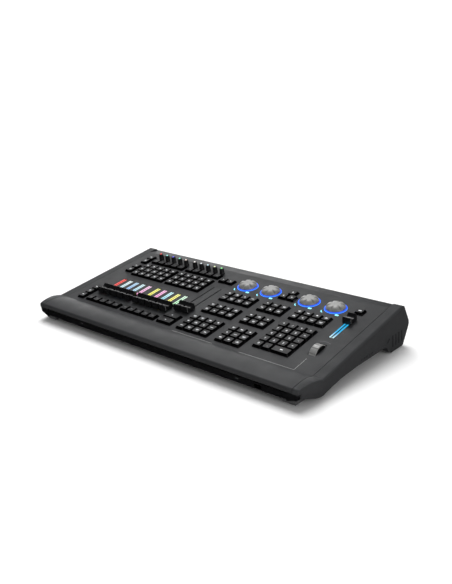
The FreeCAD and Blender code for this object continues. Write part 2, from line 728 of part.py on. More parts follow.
def cut_nose_taper(body):
    """Take the outer side of the nose inwards, in plan."""
    taper = new_sketch(body, "nose_taper")
    front = f"{FOLD_Y} - palm_depth - 2 * cut_margin"
    corners = [
        (f"{CHEEK_FACE} + cut_margin", f"{FOLD_Y} + taper_start"),
        (f"{CHEEK_FACE} + 5 * cut_margin", f"{FOLD_Y} + taper_start"),
        (f"{CHEEK_FACE} + 5 * cut_margin", front),
        (f"{CHEEK_FACE} - taper_tip_in", front),
    ]
    bulge = (f"{CHEEK_FACE} - taper_bulge_in", f"{FOLD_Y} - taper_bulge")
    add_outline(taper, corners, {3: bulge})
    add_pocket(body, taper, "nose_side", "4 * fold_height", "Symmetric")


def cut_vents(body):
    """Slanted cooling slots through the cheek's outer wall."""
    vents = new_sketch(body, "vent_slots", "YZ_Plane", CHEEK_FACE)
    for index in range(VENT_COUNT):
        top = f"vent_first + {index} * vent_pitch"
        corners = [
            side(f"{top} + vent_slant", "vent_low"),
            side(f"{top} + vent_slant + vent_width", "vent_low"),
            side(f"{top} + vent_width", "0"),
            side(top, "0"),
        ]
        add_outline(vents, corners)
    add_outline(vents, [outline_point(name) for name in VENT_CORNER])
    for index in range(SLIT_COUNT):
        low = f"slit_first + {index} * slit_pitch"
        corners = [
            side(low, "slit_low"),
            side(f"{low} + slit_width", "slit_low"),
            side(f"{low} + slit_slant + slit_width", "slit_high"),
            side(f"{low} + slit_slant", "slit_high"),
        ]
        add_outline(vents, corners)
    add_pocket(body, vents, "vents", "vent_depth")


def soften_cheek(body):
    """Round the long outer edge of the cheek's top."""
    doc.recompute()
    face = value(CHEEK_FACE)
    edges = []
    for number, edge in enumerate(body.Shape.Edges, 1):
        centre = edge.CenterOfMass
        back = centre.y - value(FOLD_Y)
        rise = centre.z - value(FOLD_Z)
        on_top = rise > TOP_SLOPE * back and back < TOP_END and edge.Length > LONG_EDGE
        if on_top and edge.BoundBox.XMin > face - NEAR:
            edges.append(f"Edge{number}")
    base = body.Tip
    fillet = body.newObject("PartDesign::Fillet", "cheek_round")
    fillet.Base = (base, edges)
    bind(fillet, Radius="cheek_round_radius")


def cut_foot_seat(body):
    """Recess for the rubber pad under the heel."""
    seat = new_sketch(body, "foot_seat", "XY_Plane", "foot_drop")
    x = "inner_width / 2 + cheek_width / 2"
    width = "heel_width + 2 * heel_room"
    add_centred_box(seat, x, f"{FOLD_Y} + heel_back", width, "heel_length + 2 * heel_room")
    add_pocket(body, seat, "foot_recess", "heel_depth", reverse=True)


def make_base_tray():
    """Open-topped tray: floor, front wall and two side walls."""
    body = new_body("base_tray")
    outer = new_sketch(body, "tray_profile", "YZ_Plane")
    top = "-sheet_thick - seam_gap"
    back_z = f"{PANEL_END_Z} - sheet_thick - 3 * seam_gap"
    corners = [
        side("-tray_front", "-tray_drop"),
        side("tray_back", "-tray_drop"),
        side("tray_back", back_z),
        side(PANEL_END_Y, back_z),
        side("0", top),
        side("-tray_front", top),
    ]
    add_outline(outer, corners)
    add_pad(body, outer, "tray_block", "inner_width", "Symmetric")
    inner = new_sketch(body, "tray_hollow", "YZ_Plane")
    low = side("sheet_thick - tray_front", "sheet_thick - tray_drop")
    high = side("tray_back + 10 * cut_margin", "3 * fold_height")
    add_box(inner, low[0], low[1], high[0], high[1])
    add_pocket(body, inner, "tray_inside", "inner_width - 2 * sheet_thick", "Symmetric")
    window = new_sketch(body, "tray_window", "XZ_Plane", f"-({FOLD_Y}) + tray_front")
    cut_socket_window(body, window, "tray_socket_window", "usb_wide_room")
    holes = new_sketch(body, "tray_holes")
    for x, y in BOTTOM_SCREWS:
        add_circle(holes, str(x), str(y), "screw_hole")
    add_pocket(body, holes, "tray_screw_holes", "2 * fold_height", "Symmetric")
    return body


def cut_socket_window(body, sketch, name, room):
    """Opening round the front socket."""
    width = f"usb_width + 2 * {room}"
    add_centred_box(sketch, "usb_x", "fold_height - usb_drop", width, f"usb_height + 2 * {room}")
    add_pocket(body, sketch, name, "20 * cut_margin", "Symmetric")


def make_rear_panel():
    """Flat plate between the cheeks with the openings for the rear sockets."""
    body = new_body("rear_panel")
    outline = new_sketch(body, "rear_outline", "XZ_Plane", REAR_FACE)
    width = "inner_width / 2 - seam_gap"
    low = "fold_height - tray_drop"
    high = f"fold_height + {PANEL_END_Z} - sheet_thick - 3 * seam_gap"
    add_box(outline, f"-({width})", low, width, high)
    add_pad(body, outline, "rear_plate", "sheet_thick")
    holes = new_sketch(body, "rear_holes", "XZ_Plane", REAR_FACE)
    for x in DATA_SOCKETS:
        add_circle(holes, str(x), "socket_z", "outlet_hole")
    for x, kind in ((NETWORK_X, "network"), (MAINS_X, "mains")):
        size = (f"{kind}_width + 2 * socket_room", f"{kind}_height + 2 * socket_room")
        add_centred_box(holes, str(x), "socket_z", *size)
    for x, z in REAR_SCREWS:
        add_circle(holes, str(x), str(z), "screw_hole")
    add_pocket(body, holes, "rear_openings", "20 * cut_margin", "Symmetric")
    return body


def make_front_rail():
    """Recessed front face under the palm rest, stepped, with the socket window."""
    body = new_body("front_rail")
    profile = new_sketch(body, "rail_profile", "YZ_Plane")
    add_outline(profile, [outline_point(name) for name in RAIL_OUTLINE])
    add_pad(body, profile, "rail_bar", "inner_width - 2 * rail_inset", "Symmetric")
    window = new_sketch(body, "rail_window", "XZ_Plane", f"-({FOLD_Y}) + usb_face")
    cut_socket_window(body, window, "rail_socket_window", "usb_room")
    return body


def make_corner_blocks():
    """Black blocks that close the front corners below the palm rest."""
    body = new_body("corner_block_form")
    front = new_sketch(body, "block_outline", "XZ_Plane", f"-({FOLD_Y}) + block_back")
    inner = "inner_width / 2 - block_inset"
    outer = "inner_width / 2 + block_reach"
    corners = [
        (inner, "fold_height - tray_drop"),
        (inner, "fold_height - block_top"),
        (outer, "fold_height - block_top"),
        (f"{outer} - block_tuck", "fold_height - block_side_low"),
    ]
    add_outline(front, corners)
    add_pad(body, front, "block", "block_front - block_back")
    return group("corner_blocks", [body, mirrored("corner_block_twin", body)])


def make_feet():
    """Four rubber feet: tall ones under the front corners, thin pads under the heels."""
    body = new_body("front_foot_form")
    base = new_sketch(body, "foot_outline")
    middle = ("inner_width / 2 - foot_inset", f"{FOLD_Y} - foot_forward")
    add_centred_box(base, *middle, "foot_width", "foot_length")
    add_pad(body, base, "foot_block", "fold_height - tray_drop")
    doc.recompute()
    lower = [
        f"Edge{number}"
        for number, edge in enumerate(body.Shape.Edges, 1)
        if edge.BoundBox.ZMax < NEAR
    ]
    block = body.Tip
    chamfer = body.newObject("PartDesign::Chamfer", "foot_chamfer")
    chamfer.Base = (block, lower)
    bind(chamfer, Size="foot_edge")
    pad = doc.addObject("Part::Box", "heel_pad_form")
    bind(pad, Length="heel_width", Width="heel_length", Height="foot_drop + heel_depth")
    x = "inner_width / 2 + cheek_width / 2 - heel_width / 2"
    place(pad, x, f"{FOLD_Y} + heel_back - heel_length / 2")
    twins = [mirrored("front_foot_twin", body), mirrored("heel_pad_twin", pad)]
    return group("rubber_feet", [body, pad] + twins)


def make_key_bank(label, grids):
    """Keys of one bank: square skirt, tapered cap and stem, repeated over each grid."""
    body = new_body(label)
    taper = "-atan(key_inset / key_cap_height)"
    for number, (u, v, columns, rows, units) in enumerate(grids):
        width = f"key_base + {units - 1} * key_pitch"
        skirt = new_sketch(body, f"{label}_skirt_{number}", lift="-key_skirt_depth")
        add_centred_box(skirt, str(u), str(v), width, "key_base")
        height = "key_skirt_depth + key_skirt_top"
        features = [add_pad(body, skirt, f"{label}_body_{number}", height)]
        cap = new_sketch(body, f"{label}_cap_{number}", lift="key_skirt_top")
        add_centred_box(cap, str(u), str(v), width, "key_base")
        features.append(add_pad(body, cap, f"{label}_top_{number}", "key_cap_height", taper=taper))
        stem = new_sketch(body, f"{label}_stem_{number}", lift="-key_skirt_depth")
        add_centred_box(stem, str(u), str(v), "stem_side", "stem_side")
        features.append(add_pad(body, stem, f"{label}_foot_{number}", "stem_length", reverse=True))
        if columns * rows > 1:
            repeat_keys(body, features, f"{label}_grid_{number}", columns, rows)
    place_on_panel(body)
    return body


def repeat_keys(body, features, name, columns, rows):
    """Repeat a key's features over columns and rows at the key pitch."""
    pattern = body.newObject("PartDesign::LinearPattern", name)
    pattern.Originals = features
    along, across = ("X_Axis", "Y_Axis") if columns > 1 else ("Y_Axis", "X_Axis")
    counts = (columns, rows) if columns > 1 else (rows, columns)
    pattern.Direction = (origin_feature(body, along), [""])
    pattern.Mode = "Spacing"
    bind(pattern, Offset="key_pitch")
    pattern.Occurrences = counts[0]
    if counts[1] > 1:
        pattern.Direction2 = (origin_feature(body, across), [""])
        pattern.Mode2 = "Spacing"
        bind(pattern, Offset2="key_pitch")
        pattern.Occurrences2 = counts[1]
        # One entry for each step; this value means that the step is the offset above.
        pattern.Spacings2 = [EVEN_STEP] * (counts[1] - 1)
    body.Tip = pattern


def make_fader_cap(label, u, v):
    """Saddle-backed fader cap with its thin metal tang."""
    body = new_body(label)
    profile = new_sketch(body, f"{label}_profile", "YZ_Plane")
    corners = [
        ("-cap_run / 2", "cap_gap"),
        ("cap_run / 2", "cap_gap"),
        ("cap_run / 2", "cap_height - cap_crest"),
        ("cap_run / 2 - cap_crest_run", "cap_height"),
        ("cap_crest_run - cap_run / 2", "cap_height"),
        ("-cap_run / 2", "cap_height - cap_crest"),
    ]
    add_outline(profile, corners, {3: ("0", "cap_saddle")})
    add_pad(body, profile, f"{label}_cap", "cap_width", "Symmetric")
    tang = new_sketch(body, f"{label}_tang", lift="cap_gap")
    add_centred_box(tang, "0", "0", "tang_thick", "tang_run")
    add_pad(body, tang, f"{label}_blade", "cap_gap + tang_depth", reverse=True)
    place_on_panel(body, u, v)
    return body


def make_light_guides():
    """Slotted light guides round the playback tangs and the grand master's tang."""
    guides = []
    deep = "sheet_thick + 2 * cut_margin"
    travel = f"playback_travel + 2 * {TANG_REACH}"
    for index, u in enumerate(playback_columns()):
        size = ("guide_width", "guide_high - guide_low", "sheet_thick")
        bar = part_box(f"guide_bar_{index}", size, (u, "guide_low", "0"))
        slot_at = (u, f"playback_v - {TANG_REACH}", "cut_margin")
        slot = part_box(f"guide_slot_{index}", ("tang_slot", travel, deep), slot_at)
        guides.append(part_cut(f"guide_{index}", bar, slot))
    length = f"grand_travel + 2 * {TANG_REACH}"
    low = f"grand_v - grand_travel - {TANG_REACH}"
    size = ("grand_guide_width", f"{length} + 2 * cut_margin", "sheet_thick")
    bar = part_box("grand_guide_bar", size, ("grand_x", f"{low} - cut_margin", "0"))
    slot = part_box("grand_guide_slot", ("grand_slot", length, deep), ("grand_x", low, "cut_margin"))
    guides.append(part_cut("grand_guide", bar, slot))
    return group("fader_light_guides", guides)


def make_light_rings():
    """Round light guides under the large encoder knobs."""
    rings = []
    thick = "sheet_thick + ring_proud"
    for index, u in enumerate(ENCODER_COLUMNS):
        at = (str(u), "encoder_v", "ring_proud")
        disc = part_cylinder(f"ring_disc_{index}", "ring_radius", thick, at)
        hole_at = (str(u), "encoder_v", "ring_proud + cut_margin")
        hole = part_cylinder(f"ring_hole_{index}", "ring_bore", f"{thick} + 2 * cut_margin", hole_at)
        rings.append(part_cut(f"ring_{index}", disc, hole))
    return group("encoder_light_rings", rings)


def make_fader_cases():
    """Slotted cases of the thirteen faders, hung below the panel."""
    faders = [(u, "playback_v", "playback_travel") for u in playback_columns()]
    faders += [(f"master_x + {index} * key_pitch", "master_v", "master_travel") for index in range(2)]
    faders.append(("grand_x", "grand_v - grand_travel", "grand_travel"))
    cases = []
    for index, (u, v, travel) in enumerate(faders):
        size = ("fader_width", f"{travel} + fader_margin", "fader_depth")
        case_at = (u, f"{v} - fader_margin / 2", "-case_drop")
        case = part_box(f"fader_box_{index}", size, case_at)
        groove_size = ("tang_slot + cut_margin / 2", f"{travel} + 2 * board_end_room", "tang_depth")
        groove_at = (u, f"{v} - board_end_room", "cut_margin - case_drop")
        groove = part_box(f"fader_groove_{index}", groove_size, groove_at)
        cases.append(part_cut(f"fader_case_{index}", case, groove))
    return group("fader_cases", cases)


def make_encoder_cases():
    """Bored cases of the fourteen encoders and the level wheel's bracket."""
    cases = []
    spots = [(str(u), "encoder_v", DIAL_CASE_SIDE) for u in ENCODER_COLUMNS]
    spots += [(u, "knob_v", KNOB_CASE_SIDE) for u in playback_columns()]
    for index, (u, v, side_length) in enumerate(spots):
        size = (str(side_length), str(side_length), "shaft_depth")
        box = part_box(f"encoder_box_{index}", size, (u, f"{v} - {side_length} / 2", "-case_drop"))
        bore_at = (u, v, "cut_margin")
        bore = part_cylinder(f"encoder_bore_{index}", "shaft_bore", "2 * shaft_depth", bore_at)
        cases.append(part_cut(f"encoder_case_{index}", box, bore))
    for index, sign in enumerate(("-", "+")):
        u = f"grand_x {sign} (wheel_width / 2 + bracket_room + bracket_thick / 2)"
        size = ("bracket_thick", "bracket_length", "bracket_height")
        plate = part_box(f"bracket_plate_{index}", size, (u, "wheel_v - bracket_length / 2", "-case_drop"))
        hole = doc.addObject("Part::Cylinder", f"bracket_hole_{index}")
        bind(hole, Radius="axle_bore", Height="4 * bracket_thick")
        lay_on_axle(hole, u)
        cases.append(part_cut(f"bracket_{index}", plate, hole))
    return group("encoder_cases", cases)


def lay_on_axle(cylinder, u):
    """Lay a cylinder along X through the wheel's axle, centred on a column."""
    cylinder.Placement = FreeCAD.Placement(
        FreeCAD.Vector(0, 0, 0), FreeCAD.Rotation(FreeCAD.Vector(0, 1, 0), 90)
    )
    drop = "(wheel_proud - wheel_radius)"
    along = f"{FOLD_Y} + wheel_v * cos(panel_tilt) - {drop} * sin(panel_tilt)"
    height = f"{FOLD_Z} + wheel_v * sin(panel_tilt) + {drop} * cos(panel_tilt)"
    cylinder.setExpression("Placement.Base.x", bound(f"{u} - 2 * bracket_thick"))
    cylinder.setExpression("Placement.Base.y", bound(along))
    cylinder.setExpression("Placement.Base.z", bound(height))


def add_turned_profile(body, name, corners, arcs=None):
    """Revolve a profile, given as radius and height, about the body's Z axis."""
    sketch = new_sketch(body, f"{name}_profile", "XZ_Plane")
    add_outline(sketch, corners, arcs)
    turned = body.newObject("PartDesign::Revolution", name)
    turned.Profile = sketch
    turned.ReferenceAxis = (sketch, ["V_Axis"])
    turned.Angle = 360
    return turned


def make_dial(label, u):
    """Large fluted encoder knob on its shaft."""
    body = new_body(label)
    corners = [
        ("0", "-shaft_depth"),
        ("shaft_radius", "-shaft_depth"),
        ("shaft_radius", "dial_gap"),
        ("dial_radius", "dial_gap"),
        ("dial_radius", "dial_gap + dial_skirt"),
        ("dial_radius - dial_shoulder", "dial_height - dial_crown_drop"),
        ("dial_radius - dial_crown", "dial_height"),
        ("0", "dial_height"),
    ]
    arcs = {4: ("dial_radius - dial_round_in", "dial_height - dial_round_drop")}
    add_turned_profile(body, f"{label}_form", corners, arcs)
    flute = new_sketch(body, f"{label}_flute", lift="flute_floor")
    add_circle(flute, "0", "flute_offset", "flute_radius")
    cut = add_pocket(body, flute, f"{label}_cut", "2 * dial_height", reverse=True)
    pattern = body.newObject("PartDesign::PolarPattern", f"{label}_flutes")
    pattern.Originals = [cut]
    pattern.Axis = (origin_feature(body, "Z_Axis"), [""])
    pattern.Angle = 360
    bind(pattern, Occurrences="flute_count")
    body.Tip = pattern
    place_on_panel(body, str(u), "encoder_v")
    return body


def make_knob(label, u):
    """Small knob with a lit tip on its shaft."""
    body = new_body(label)
    corners = [
        ("0", "-shaft_depth"),
        ("shaft_radius", "-shaft_depth"),
        ("shaft_radius", "knob_gap"),
        ("knob_radius", "knob_gap"),
        ("knob_radius", "knob_height - knob_edge"),
        ("knob_radius - knob_edge_in", "knob_height"),
        ("0", "knob_height"),
    ]
    add_turned_profile(body, f"{label}_form", corners)
    place_on_panel(body, u, "knob_v")
    return body


def make_level_wheel():
    """Edge wheel on its own axle, turned about X."""
    body = new_body("level_wheel")
    sketch = new_sketch(body, "wheel_profile", "XZ_Plane")
    half = "wheel_width / 2"
    corners = [
        ("-axle_length / 2", "0"),
        ("-axle_length / 2", "axle_radius"),
        (f"-{half}", "axle_radius"),
        (f"-{half}", "wheel_radius - wheel_edge"),
        (f"wheel_edge - {half}", "wheel_radius"),
        (f"{half} - wheel_edge", "wheel_radius"),
        (half, "wheel_radius - wheel_edge"),
        (half, "axle_radius"),
        ("axle_length / 2", "axle_radius"),
        ("axle_length / 2", "0"),
    ]
    add_outline(sketch, corners)
    turned = body.newObject("PartDesign::Revolution", "wheel_form")
    turned.Profile = sketch
    turned.ReferenceAxis = (sketch, ["H_Axis"])
    turned.Angle = 360
    place_on_panel(body, "grand_x", "wheel_v", "wheel_proud - wheel_radius")
    return body


def make_key_boards():
    """Circuit boards under the key blocks."""
    boards = []
    for index, (low_u, low_v, high_u, high_v) in enumerate(KEY_BOARDS):
        size = (str(high_u - low_u), str(high_v - low_v), "board_thick")
        at = (str((low_u + high_u) / 2), str(low_v), "-board_depth")
        boards.append(part_box(f"key_board_{index}", size, at))
    return group("key_boards", boards)


def make_main_board():
    """Main circuit board with its heat sink, and the power supply beside it, on the tray floor."""
    floor = "fold_height - tray_drop + sheet_thick"
    solids = []
    for name, (length, width, height, x, y, lift) in MAIN_BLOCKS.items():
        at = (str(x), str(y), f"{floor} + {lift} + {height}")
        solids.append(part_box(name, (str(length), str(width), str(height)), at, on_panel=False))
    for index, (x, y) in enumerate(SPACERS):
        size = (str(SPACER_SIDE), str(SPACER_SIDE), "main_board_lift")
        at = (str(x), str(y), f"{floor} + main_board_lift")
        solids.append(part_box(f"spacer_{index}", size, at, on_panel=False))
    return group("main_electronics", solids)


def make_front_socket():
    """Front data socket: metal shell and the contact tongue inside."""
    body = new_body("front_usb_socket")
    face = f"-({FOLD_Y}) + usb_face"
    z = "fold_height - usb_drop"
    shell = new_sketch(body, "socket_outline", "XZ_Plane", face)
    add_centred_box(shell, "usb_x", z, "usb_width", "usb_height")
    add_pad(body, shell, "socket_shell", "usb_depth", reverse=True)
    cavity = new_sketch(body, "socket_cavity", "XZ_Plane", face)
    add_centred_box(cavity, "usb_x", z, "usb_width - 2 * usb_wall", "usb_height - 2 * usb_wall")
    add_pocket(body, cavity, "socket_hollow", "usb_depth - usb_back")
    tongue = new_sketch(body, "socket_tongue", "XZ_Plane", f"{face} - tongue_inset")
    width = "usb_width - 2 * tongue_inset"
    add_centred_box(tongue, "usb_x", f"{z} + tongue_rise", width, "tongue_thick")
    add_pad(body, tongue, "socket_blade", "usb_depth - 2 * tongue_inset", reverse=True)
    return body


def make_rear_sockets():
    """Mains inlet, network socket and two round data outlets on the rear panel."""
    bodies = [make_data_outlet(index, str(x)) for index, x in enumerate(DATA_SOCKETS)]
    bodies.append(make_box_socket("network", str(NETWORK_X)))
    bodies.append(make_box_socket("mains", str(MAINS_X)))
    return group("rear_sockets", bodies)


def make_data_outlet(index, x):
    """Round outlet: flange outside the rear panel, barrel behind it and a ring groove."""
    body = new_body(f"data_outlet_{index}")
    flange = new_sketch(body, f"outlet_flange_{index}", "XZ_Plane", REAR_FACE)
    add_centred_box(flange, x, "socket_z", "outlet_plate_width", "outlet_plate_height")
    add_pad(body, flange, f"outlet_plate_{index}", "outlet_plate_thick", reverse=True)
    outside = f"{REAR_FACE} - outlet_plate_thick"
    barrel = new_sketch(body, f"outlet_barrel_{index}", "XZ_Plane", outside)
    add_circle(barrel, x, "socket_z", "outlet_radius")
    add_pad(body, barrel, f"outlet_body_{index}", "outlet_length")
    ring = new_sketch(body, f"outlet_ring_{index}", "XZ_Plane", outside)
    add_circle(ring, x, "socket_z", "groove_outer")
    add_circle(ring, x, "socket_z", "groove_inner")
    add_pocket(body, ring, f"outlet_groove_{index}", "groove_depth", reverse=True)
    return body


def make_box_socket(kind, x):
    """Square socket: flange outside the rear panel, housing behind it and an open mouth."""
    body = new_body(f"{kind}_socket")
    flange = new_sketch(body, f"{kind}_flange", "XZ_Plane", REAR_FACE)
    width = f"{kind}_width + 2 * socket_plate_side"
    add_centred_box(flange, x, "socket_z", width, f"{kind}_height + 2 * socket_plate_end")
    add_pad(body, flange, f"{kind}_plate", "socket_plate_thick", reverse=True)
    housing = new_sketch(body, f"{kind}_housing", "XZ_Plane", REAR_FACE)
    add_centred_box(housing, x, "socket_z", f"{kind}_width", f"{kind}_height")
    add_pad(body, housing, f"{kind}_body", "socket_length")
    outside = f"{REAR_FACE} - socket_plate_thick"
    mouth = new_sketch(body, f"{kind}_mouth", "XZ_Plane", outside)
    add_centred_box(mouth, x, "socket_z", f"{kind}_mouth_width", f"{kind}_mouth_height")
    add_pocket(body, mouth, f"{kind}_hollow", f"{kind}_depth", reverse=True)
    return body


def make_case_screws():
    """Pan-head screws in the tray floor and the rear panel."""
    screws = []
    for index, (x, y) in enumerate(BOTTOM_SCREWS):
        at = (str(x), str(y), "fold_height - tray_drop")
        screws.append(make_screw(f"floor_screw_{index}", at, "0"))
    back = f"{FOLD_Y} + tray_back + sheet_thick"
    for index, (x, z) in enumerate(REAR_SCREWS):
        screws.append(make_screw(f"rear_screw_{index}", (str(x), back, str(z)), "90"))
    return group("case_screws", screws)


def make_screw(name, at, turn):
    """Head outside the sheet, shank through it; turned about X for the rear panel."""
    body = new_body(name)
    corners = [
        ("0", "-screw_rise"),
        ("screw_face", "-screw_rise"),
        ("screw_head", "-screw_edge"),
        ("screw_head", "0"),
        ("screw_shank", "0"),
        ("screw_shank", "screw_length"),
        ("0", "screw_length"),
    ]
    add_turned_profile(body, f"{name}_form", corners)
    place(body, at[0], at[1], at[2], turn)
    return body


def build_all():
    """Build every sub-part and return the ones that are written out."""
    nodes = [make_top_panel()]
    cheek = make_cheek()
    nodes += [cheek, mirrored("cheek_left", cheek)]
    nodes += [make_base_tray(), make_rear_panel(), make_front_rail(), make_corner_blocks(), make_feet()]
    for label, grids in KEY_BANKS.items():
        nodes.append(make_key_bank(label, grids))
    for index, u in enumerate(playback_columns(), 1):
        nodes.append(make_fader_cap(f"playback_fader_{index}", u, "playback_v"))
        nodes.append(make_knob(f"lit_knob_{index}", u))
    for index in range(2):
        u = f"master_x + {index} * key_pitch"
        nodes.append(make_fader_cap(f"master_fader_{index + 1}", u, "master_v"))
    nodes.append(make_fader_cap("grand_master_fader", "grand_x", "grand_v"))
    for index, u in enumerate(ENCODER_COLUMNS, 1):
        nodes.append(make_dial(f"encoder_knob_{index}", u))
    nodes.append(make_level_wheel())
    nodes += [make_light_guides(), make_light_rings(), make_fader_cases(), make_encoder_cases()]
    nodes += [make_key_boards(), make_main_board(), make_front_socket(), make_rear_sockets()]
    nodes.append(make_case_screws())
    return nodes


def check_document(nodes):
    """Stop if any feature failed or any sub-part's shape is unusable."""
    for item in doc.Objects:
        if "Invalid" in item.State or "Error" in item.State:
            raise RuntimeError(f"{item.Name} failed: {item.State}")
    for node in nodes:
        if node.Shape.isNull() or not node.Shape.isValid():
            raise RuntimeError(f"{node.Label} has no valid shape")


def write_nodes(nodes):
    """Write each sub-part to its own STEP file."""
    for node in nodes:
        node.Shape.exportStep(f"parts/{node.Label}.step")
        box = node.Shape.BoundBox
        print(f"{node.Label}: {len(node.Shape.Solids)} solids, {node.Shape.Volume / 1000:.1f} cm3,"
              f" z {box.ZMin:.1f} to {box.ZMax:.1f}")


fill_sheet()
all_nodes = build_all()
doc.recompute()
check_document(all_nodes)
write_nodes(all_nodes)
print(len(all_nodes), "nodes")
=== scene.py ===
import json
import math

import bmesh
import bpy
from mathutils import Matrix, Vector

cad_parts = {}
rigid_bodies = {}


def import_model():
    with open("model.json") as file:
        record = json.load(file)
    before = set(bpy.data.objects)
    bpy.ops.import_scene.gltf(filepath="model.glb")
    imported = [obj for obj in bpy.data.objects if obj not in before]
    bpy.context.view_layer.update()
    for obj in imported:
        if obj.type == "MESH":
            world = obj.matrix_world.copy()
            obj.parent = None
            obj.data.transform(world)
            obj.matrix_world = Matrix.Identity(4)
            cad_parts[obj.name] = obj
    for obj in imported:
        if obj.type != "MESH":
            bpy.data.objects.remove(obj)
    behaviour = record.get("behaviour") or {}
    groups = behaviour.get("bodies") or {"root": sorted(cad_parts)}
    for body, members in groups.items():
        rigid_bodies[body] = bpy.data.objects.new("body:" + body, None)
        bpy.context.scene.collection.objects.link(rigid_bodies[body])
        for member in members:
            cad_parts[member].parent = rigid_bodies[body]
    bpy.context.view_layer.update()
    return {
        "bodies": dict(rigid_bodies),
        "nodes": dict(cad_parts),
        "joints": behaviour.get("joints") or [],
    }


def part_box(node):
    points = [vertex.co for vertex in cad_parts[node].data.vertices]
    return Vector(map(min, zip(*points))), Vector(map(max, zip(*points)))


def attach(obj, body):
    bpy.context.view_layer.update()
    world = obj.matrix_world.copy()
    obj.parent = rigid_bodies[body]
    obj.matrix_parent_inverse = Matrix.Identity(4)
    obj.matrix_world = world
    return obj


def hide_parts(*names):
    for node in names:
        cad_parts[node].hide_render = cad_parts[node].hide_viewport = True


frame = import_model()

# Lengths below are in millimetres unless they say otherwise, and are turned into metres by MM.
# The panel frame has u along X, v up the sloping panel from its fold, and n out of the panel.
MM = 0.001
JOINTS = {joint["name"]: joint for joint in frame["joints"]}
ENCODER_V = 210.0
ALONG = Vector(JOINTS["playback_1_slide"]["axis"]).normalized()
OUT = Vector(JOINTS["encoder_1_turn"]["axis"]).normalized()
FOLD = Vector(JOINTS["encoder_1_turn"]["pos_m"]) - ALONG * ENCODER_V * MM
FOLD.x = 0.0
PANEL = Matrix.Translation(FOLD) @ Matrix((Vector((1, 0, 0)), ALONG, OUT)).transposed().to_4x4()
TO_PANEL = PANEL.inverted()

# Colours are linear RGB.
CHARCOAL = (0.036, 0.037, 0.039)
CHEEK_GREY = (0.04, 0.041, 0.043)
CASE_BLACK = (0.018, 0.018, 0.019)
# Near black of the front rail and corner blocks: black plastic, darkened further as painted shade for the
# recessed front.
FRONT_BLACK_AND_SHADE = (0.006, 0.006, 0.0065)
KEY_SIDE = (0.0012, 0.0012, 0.0014)
KEY_TOP = (0.013, 0.013, 0.014)
LEGEND_WHITE = (0.85, 0.87, 0.9)
LEGEND_DIM = (0.18, 0.18, 0.19)
SILVER = (0.34, 0.34, 0.335)

TRACK_COLOURS = [
    ((1.0, 0.04, 0.04), (1.0, 0.14, 0.12)),
    ((0.3, 0.8, 1.0), (0.9, 1.0, 1.0)),
    ((0.03, 0.25, 0.95), (0.6, 0.85, 1.0)),
    ((0.1, 0.6, 1.0), (0.8, 1.0, 1.0)),
    ((1.0, 0.2, 0.6), (1.0, 0.7, 0.9)),
    ((0.9, 0.85, 0.02), (1.0, 1.0, 0.3)),
    ((1.0, 0.2, 0.65), (1.0, 0.6, 0.85)),
    ((0.02, 0.6, 0.9), (0.7, 1.0, 1.0)),
    ((1.0, 0.8, 0.03), (1.0, 1.0, 0.35)),
    ((0.25, 0.9, 0.3), (0.8, 1.0, 0.85)),
]
TIP_COLOURS = [
    (1.0, 0.1, 0.1),
    (0.4, 0.95, 0.9),
    (0.15, 0.12, 1.0),
    (0.35, 1.0, 0.8),
    (1.0, 0.85, 0.75),
    (1.0, 0.95, 0.9),
    (0.9, 0.95, 1.0),
    (0.65, 0.9, 1.0),
    (0.9, 1.0, 0.6),
    (0.3, 1.0, 0.35),
]


# ---------------------------------------------------------------- materials
def add_node(tree, kind, **settings):
    """Shader node with some of its inputs set."""
    node = tree.nodes.new(kind)
    for name, value in settings.items():
        node.inputs[name].default_value = value
    return node


def shade(colour, factor):
    """Colour made lighter or darker, with full alpha."""
    return tuple(min(1.0, channel * factor) for channel in colour) + (1.0,)


def add_noise(tree, coordinates, scale, detail=2.0):
    """Noise over object coordinates, in cycles per metre."""
    noise = add_node(tree, "ShaderNodeTexNoise", Scale=scale, Detail=detail)
    tree.links.new(coordinates, noise.inputs["Vector"])
    return noise.outputs["Fac"]


def add_range(tree, source, low, high):
    """Map 0.3..0.7 of a noise onto low..high."""
    mapped = add_node(
        tree, "ShaderNodeMapRange", **{"From Min": 0.3, "From Max": 0.7, "To Min": low, "To Max": high}
    )
    tree.links.new(source, mapped.inputs["Value"])
    return mapped.outputs["Result"]


def surface(name, colour, roughness, grain=1800.0, bump=0.12, tone=0.12, patch=35.0, **inputs):
    """Procedural moulded, painted or metal surface: patchy tone, uneven gloss and a fine grain."""
    made = bpy.data.materials.new(name)
    made.use_nodes = True
    tree = made.node_tree
    shader = tree.nodes["Principled BSDF"]
    for key, value in inputs.items():
        shader.inputs[key.replace("_", " ")].default_value = value
    coordinates = tree.nodes.new("ShaderNodeTexCoord").outputs["Object"]
    broad = add_noise(tree, coordinates, patch)
    fine = add_noise(tree, coordinates, grain, 4.0)
    blend = tree.nodes.new("ShaderNodeMix")
    blend.data_type = "RGBA"
    tree.links.new(add_range(tree, fine, 0.0, 1.0), blend.inputs[0])
    blend.inputs[6].default_value = shade(colour, 1 - tone)
    blend.inputs[7].default_value = shade(colour, 1 + tone)
    tree.links.new(blend.outputs[2], shader.inputs["Base Color"])
    tree.links.new(
        add_range(tree, broad, max(0.02, roughness - 0.05), min(1.0, roughness + 0.05)),
        shader.inputs["Roughness"],
    )
    relief = add_node(tree, "ShaderNodeBump", Strength=bump, Distance=0.0002)
    tree.links.new(fine, relief.inputs["Height"])
    tree.links.new(relief.outputs["Normal"], shader.inputs["Normal"])
    return made


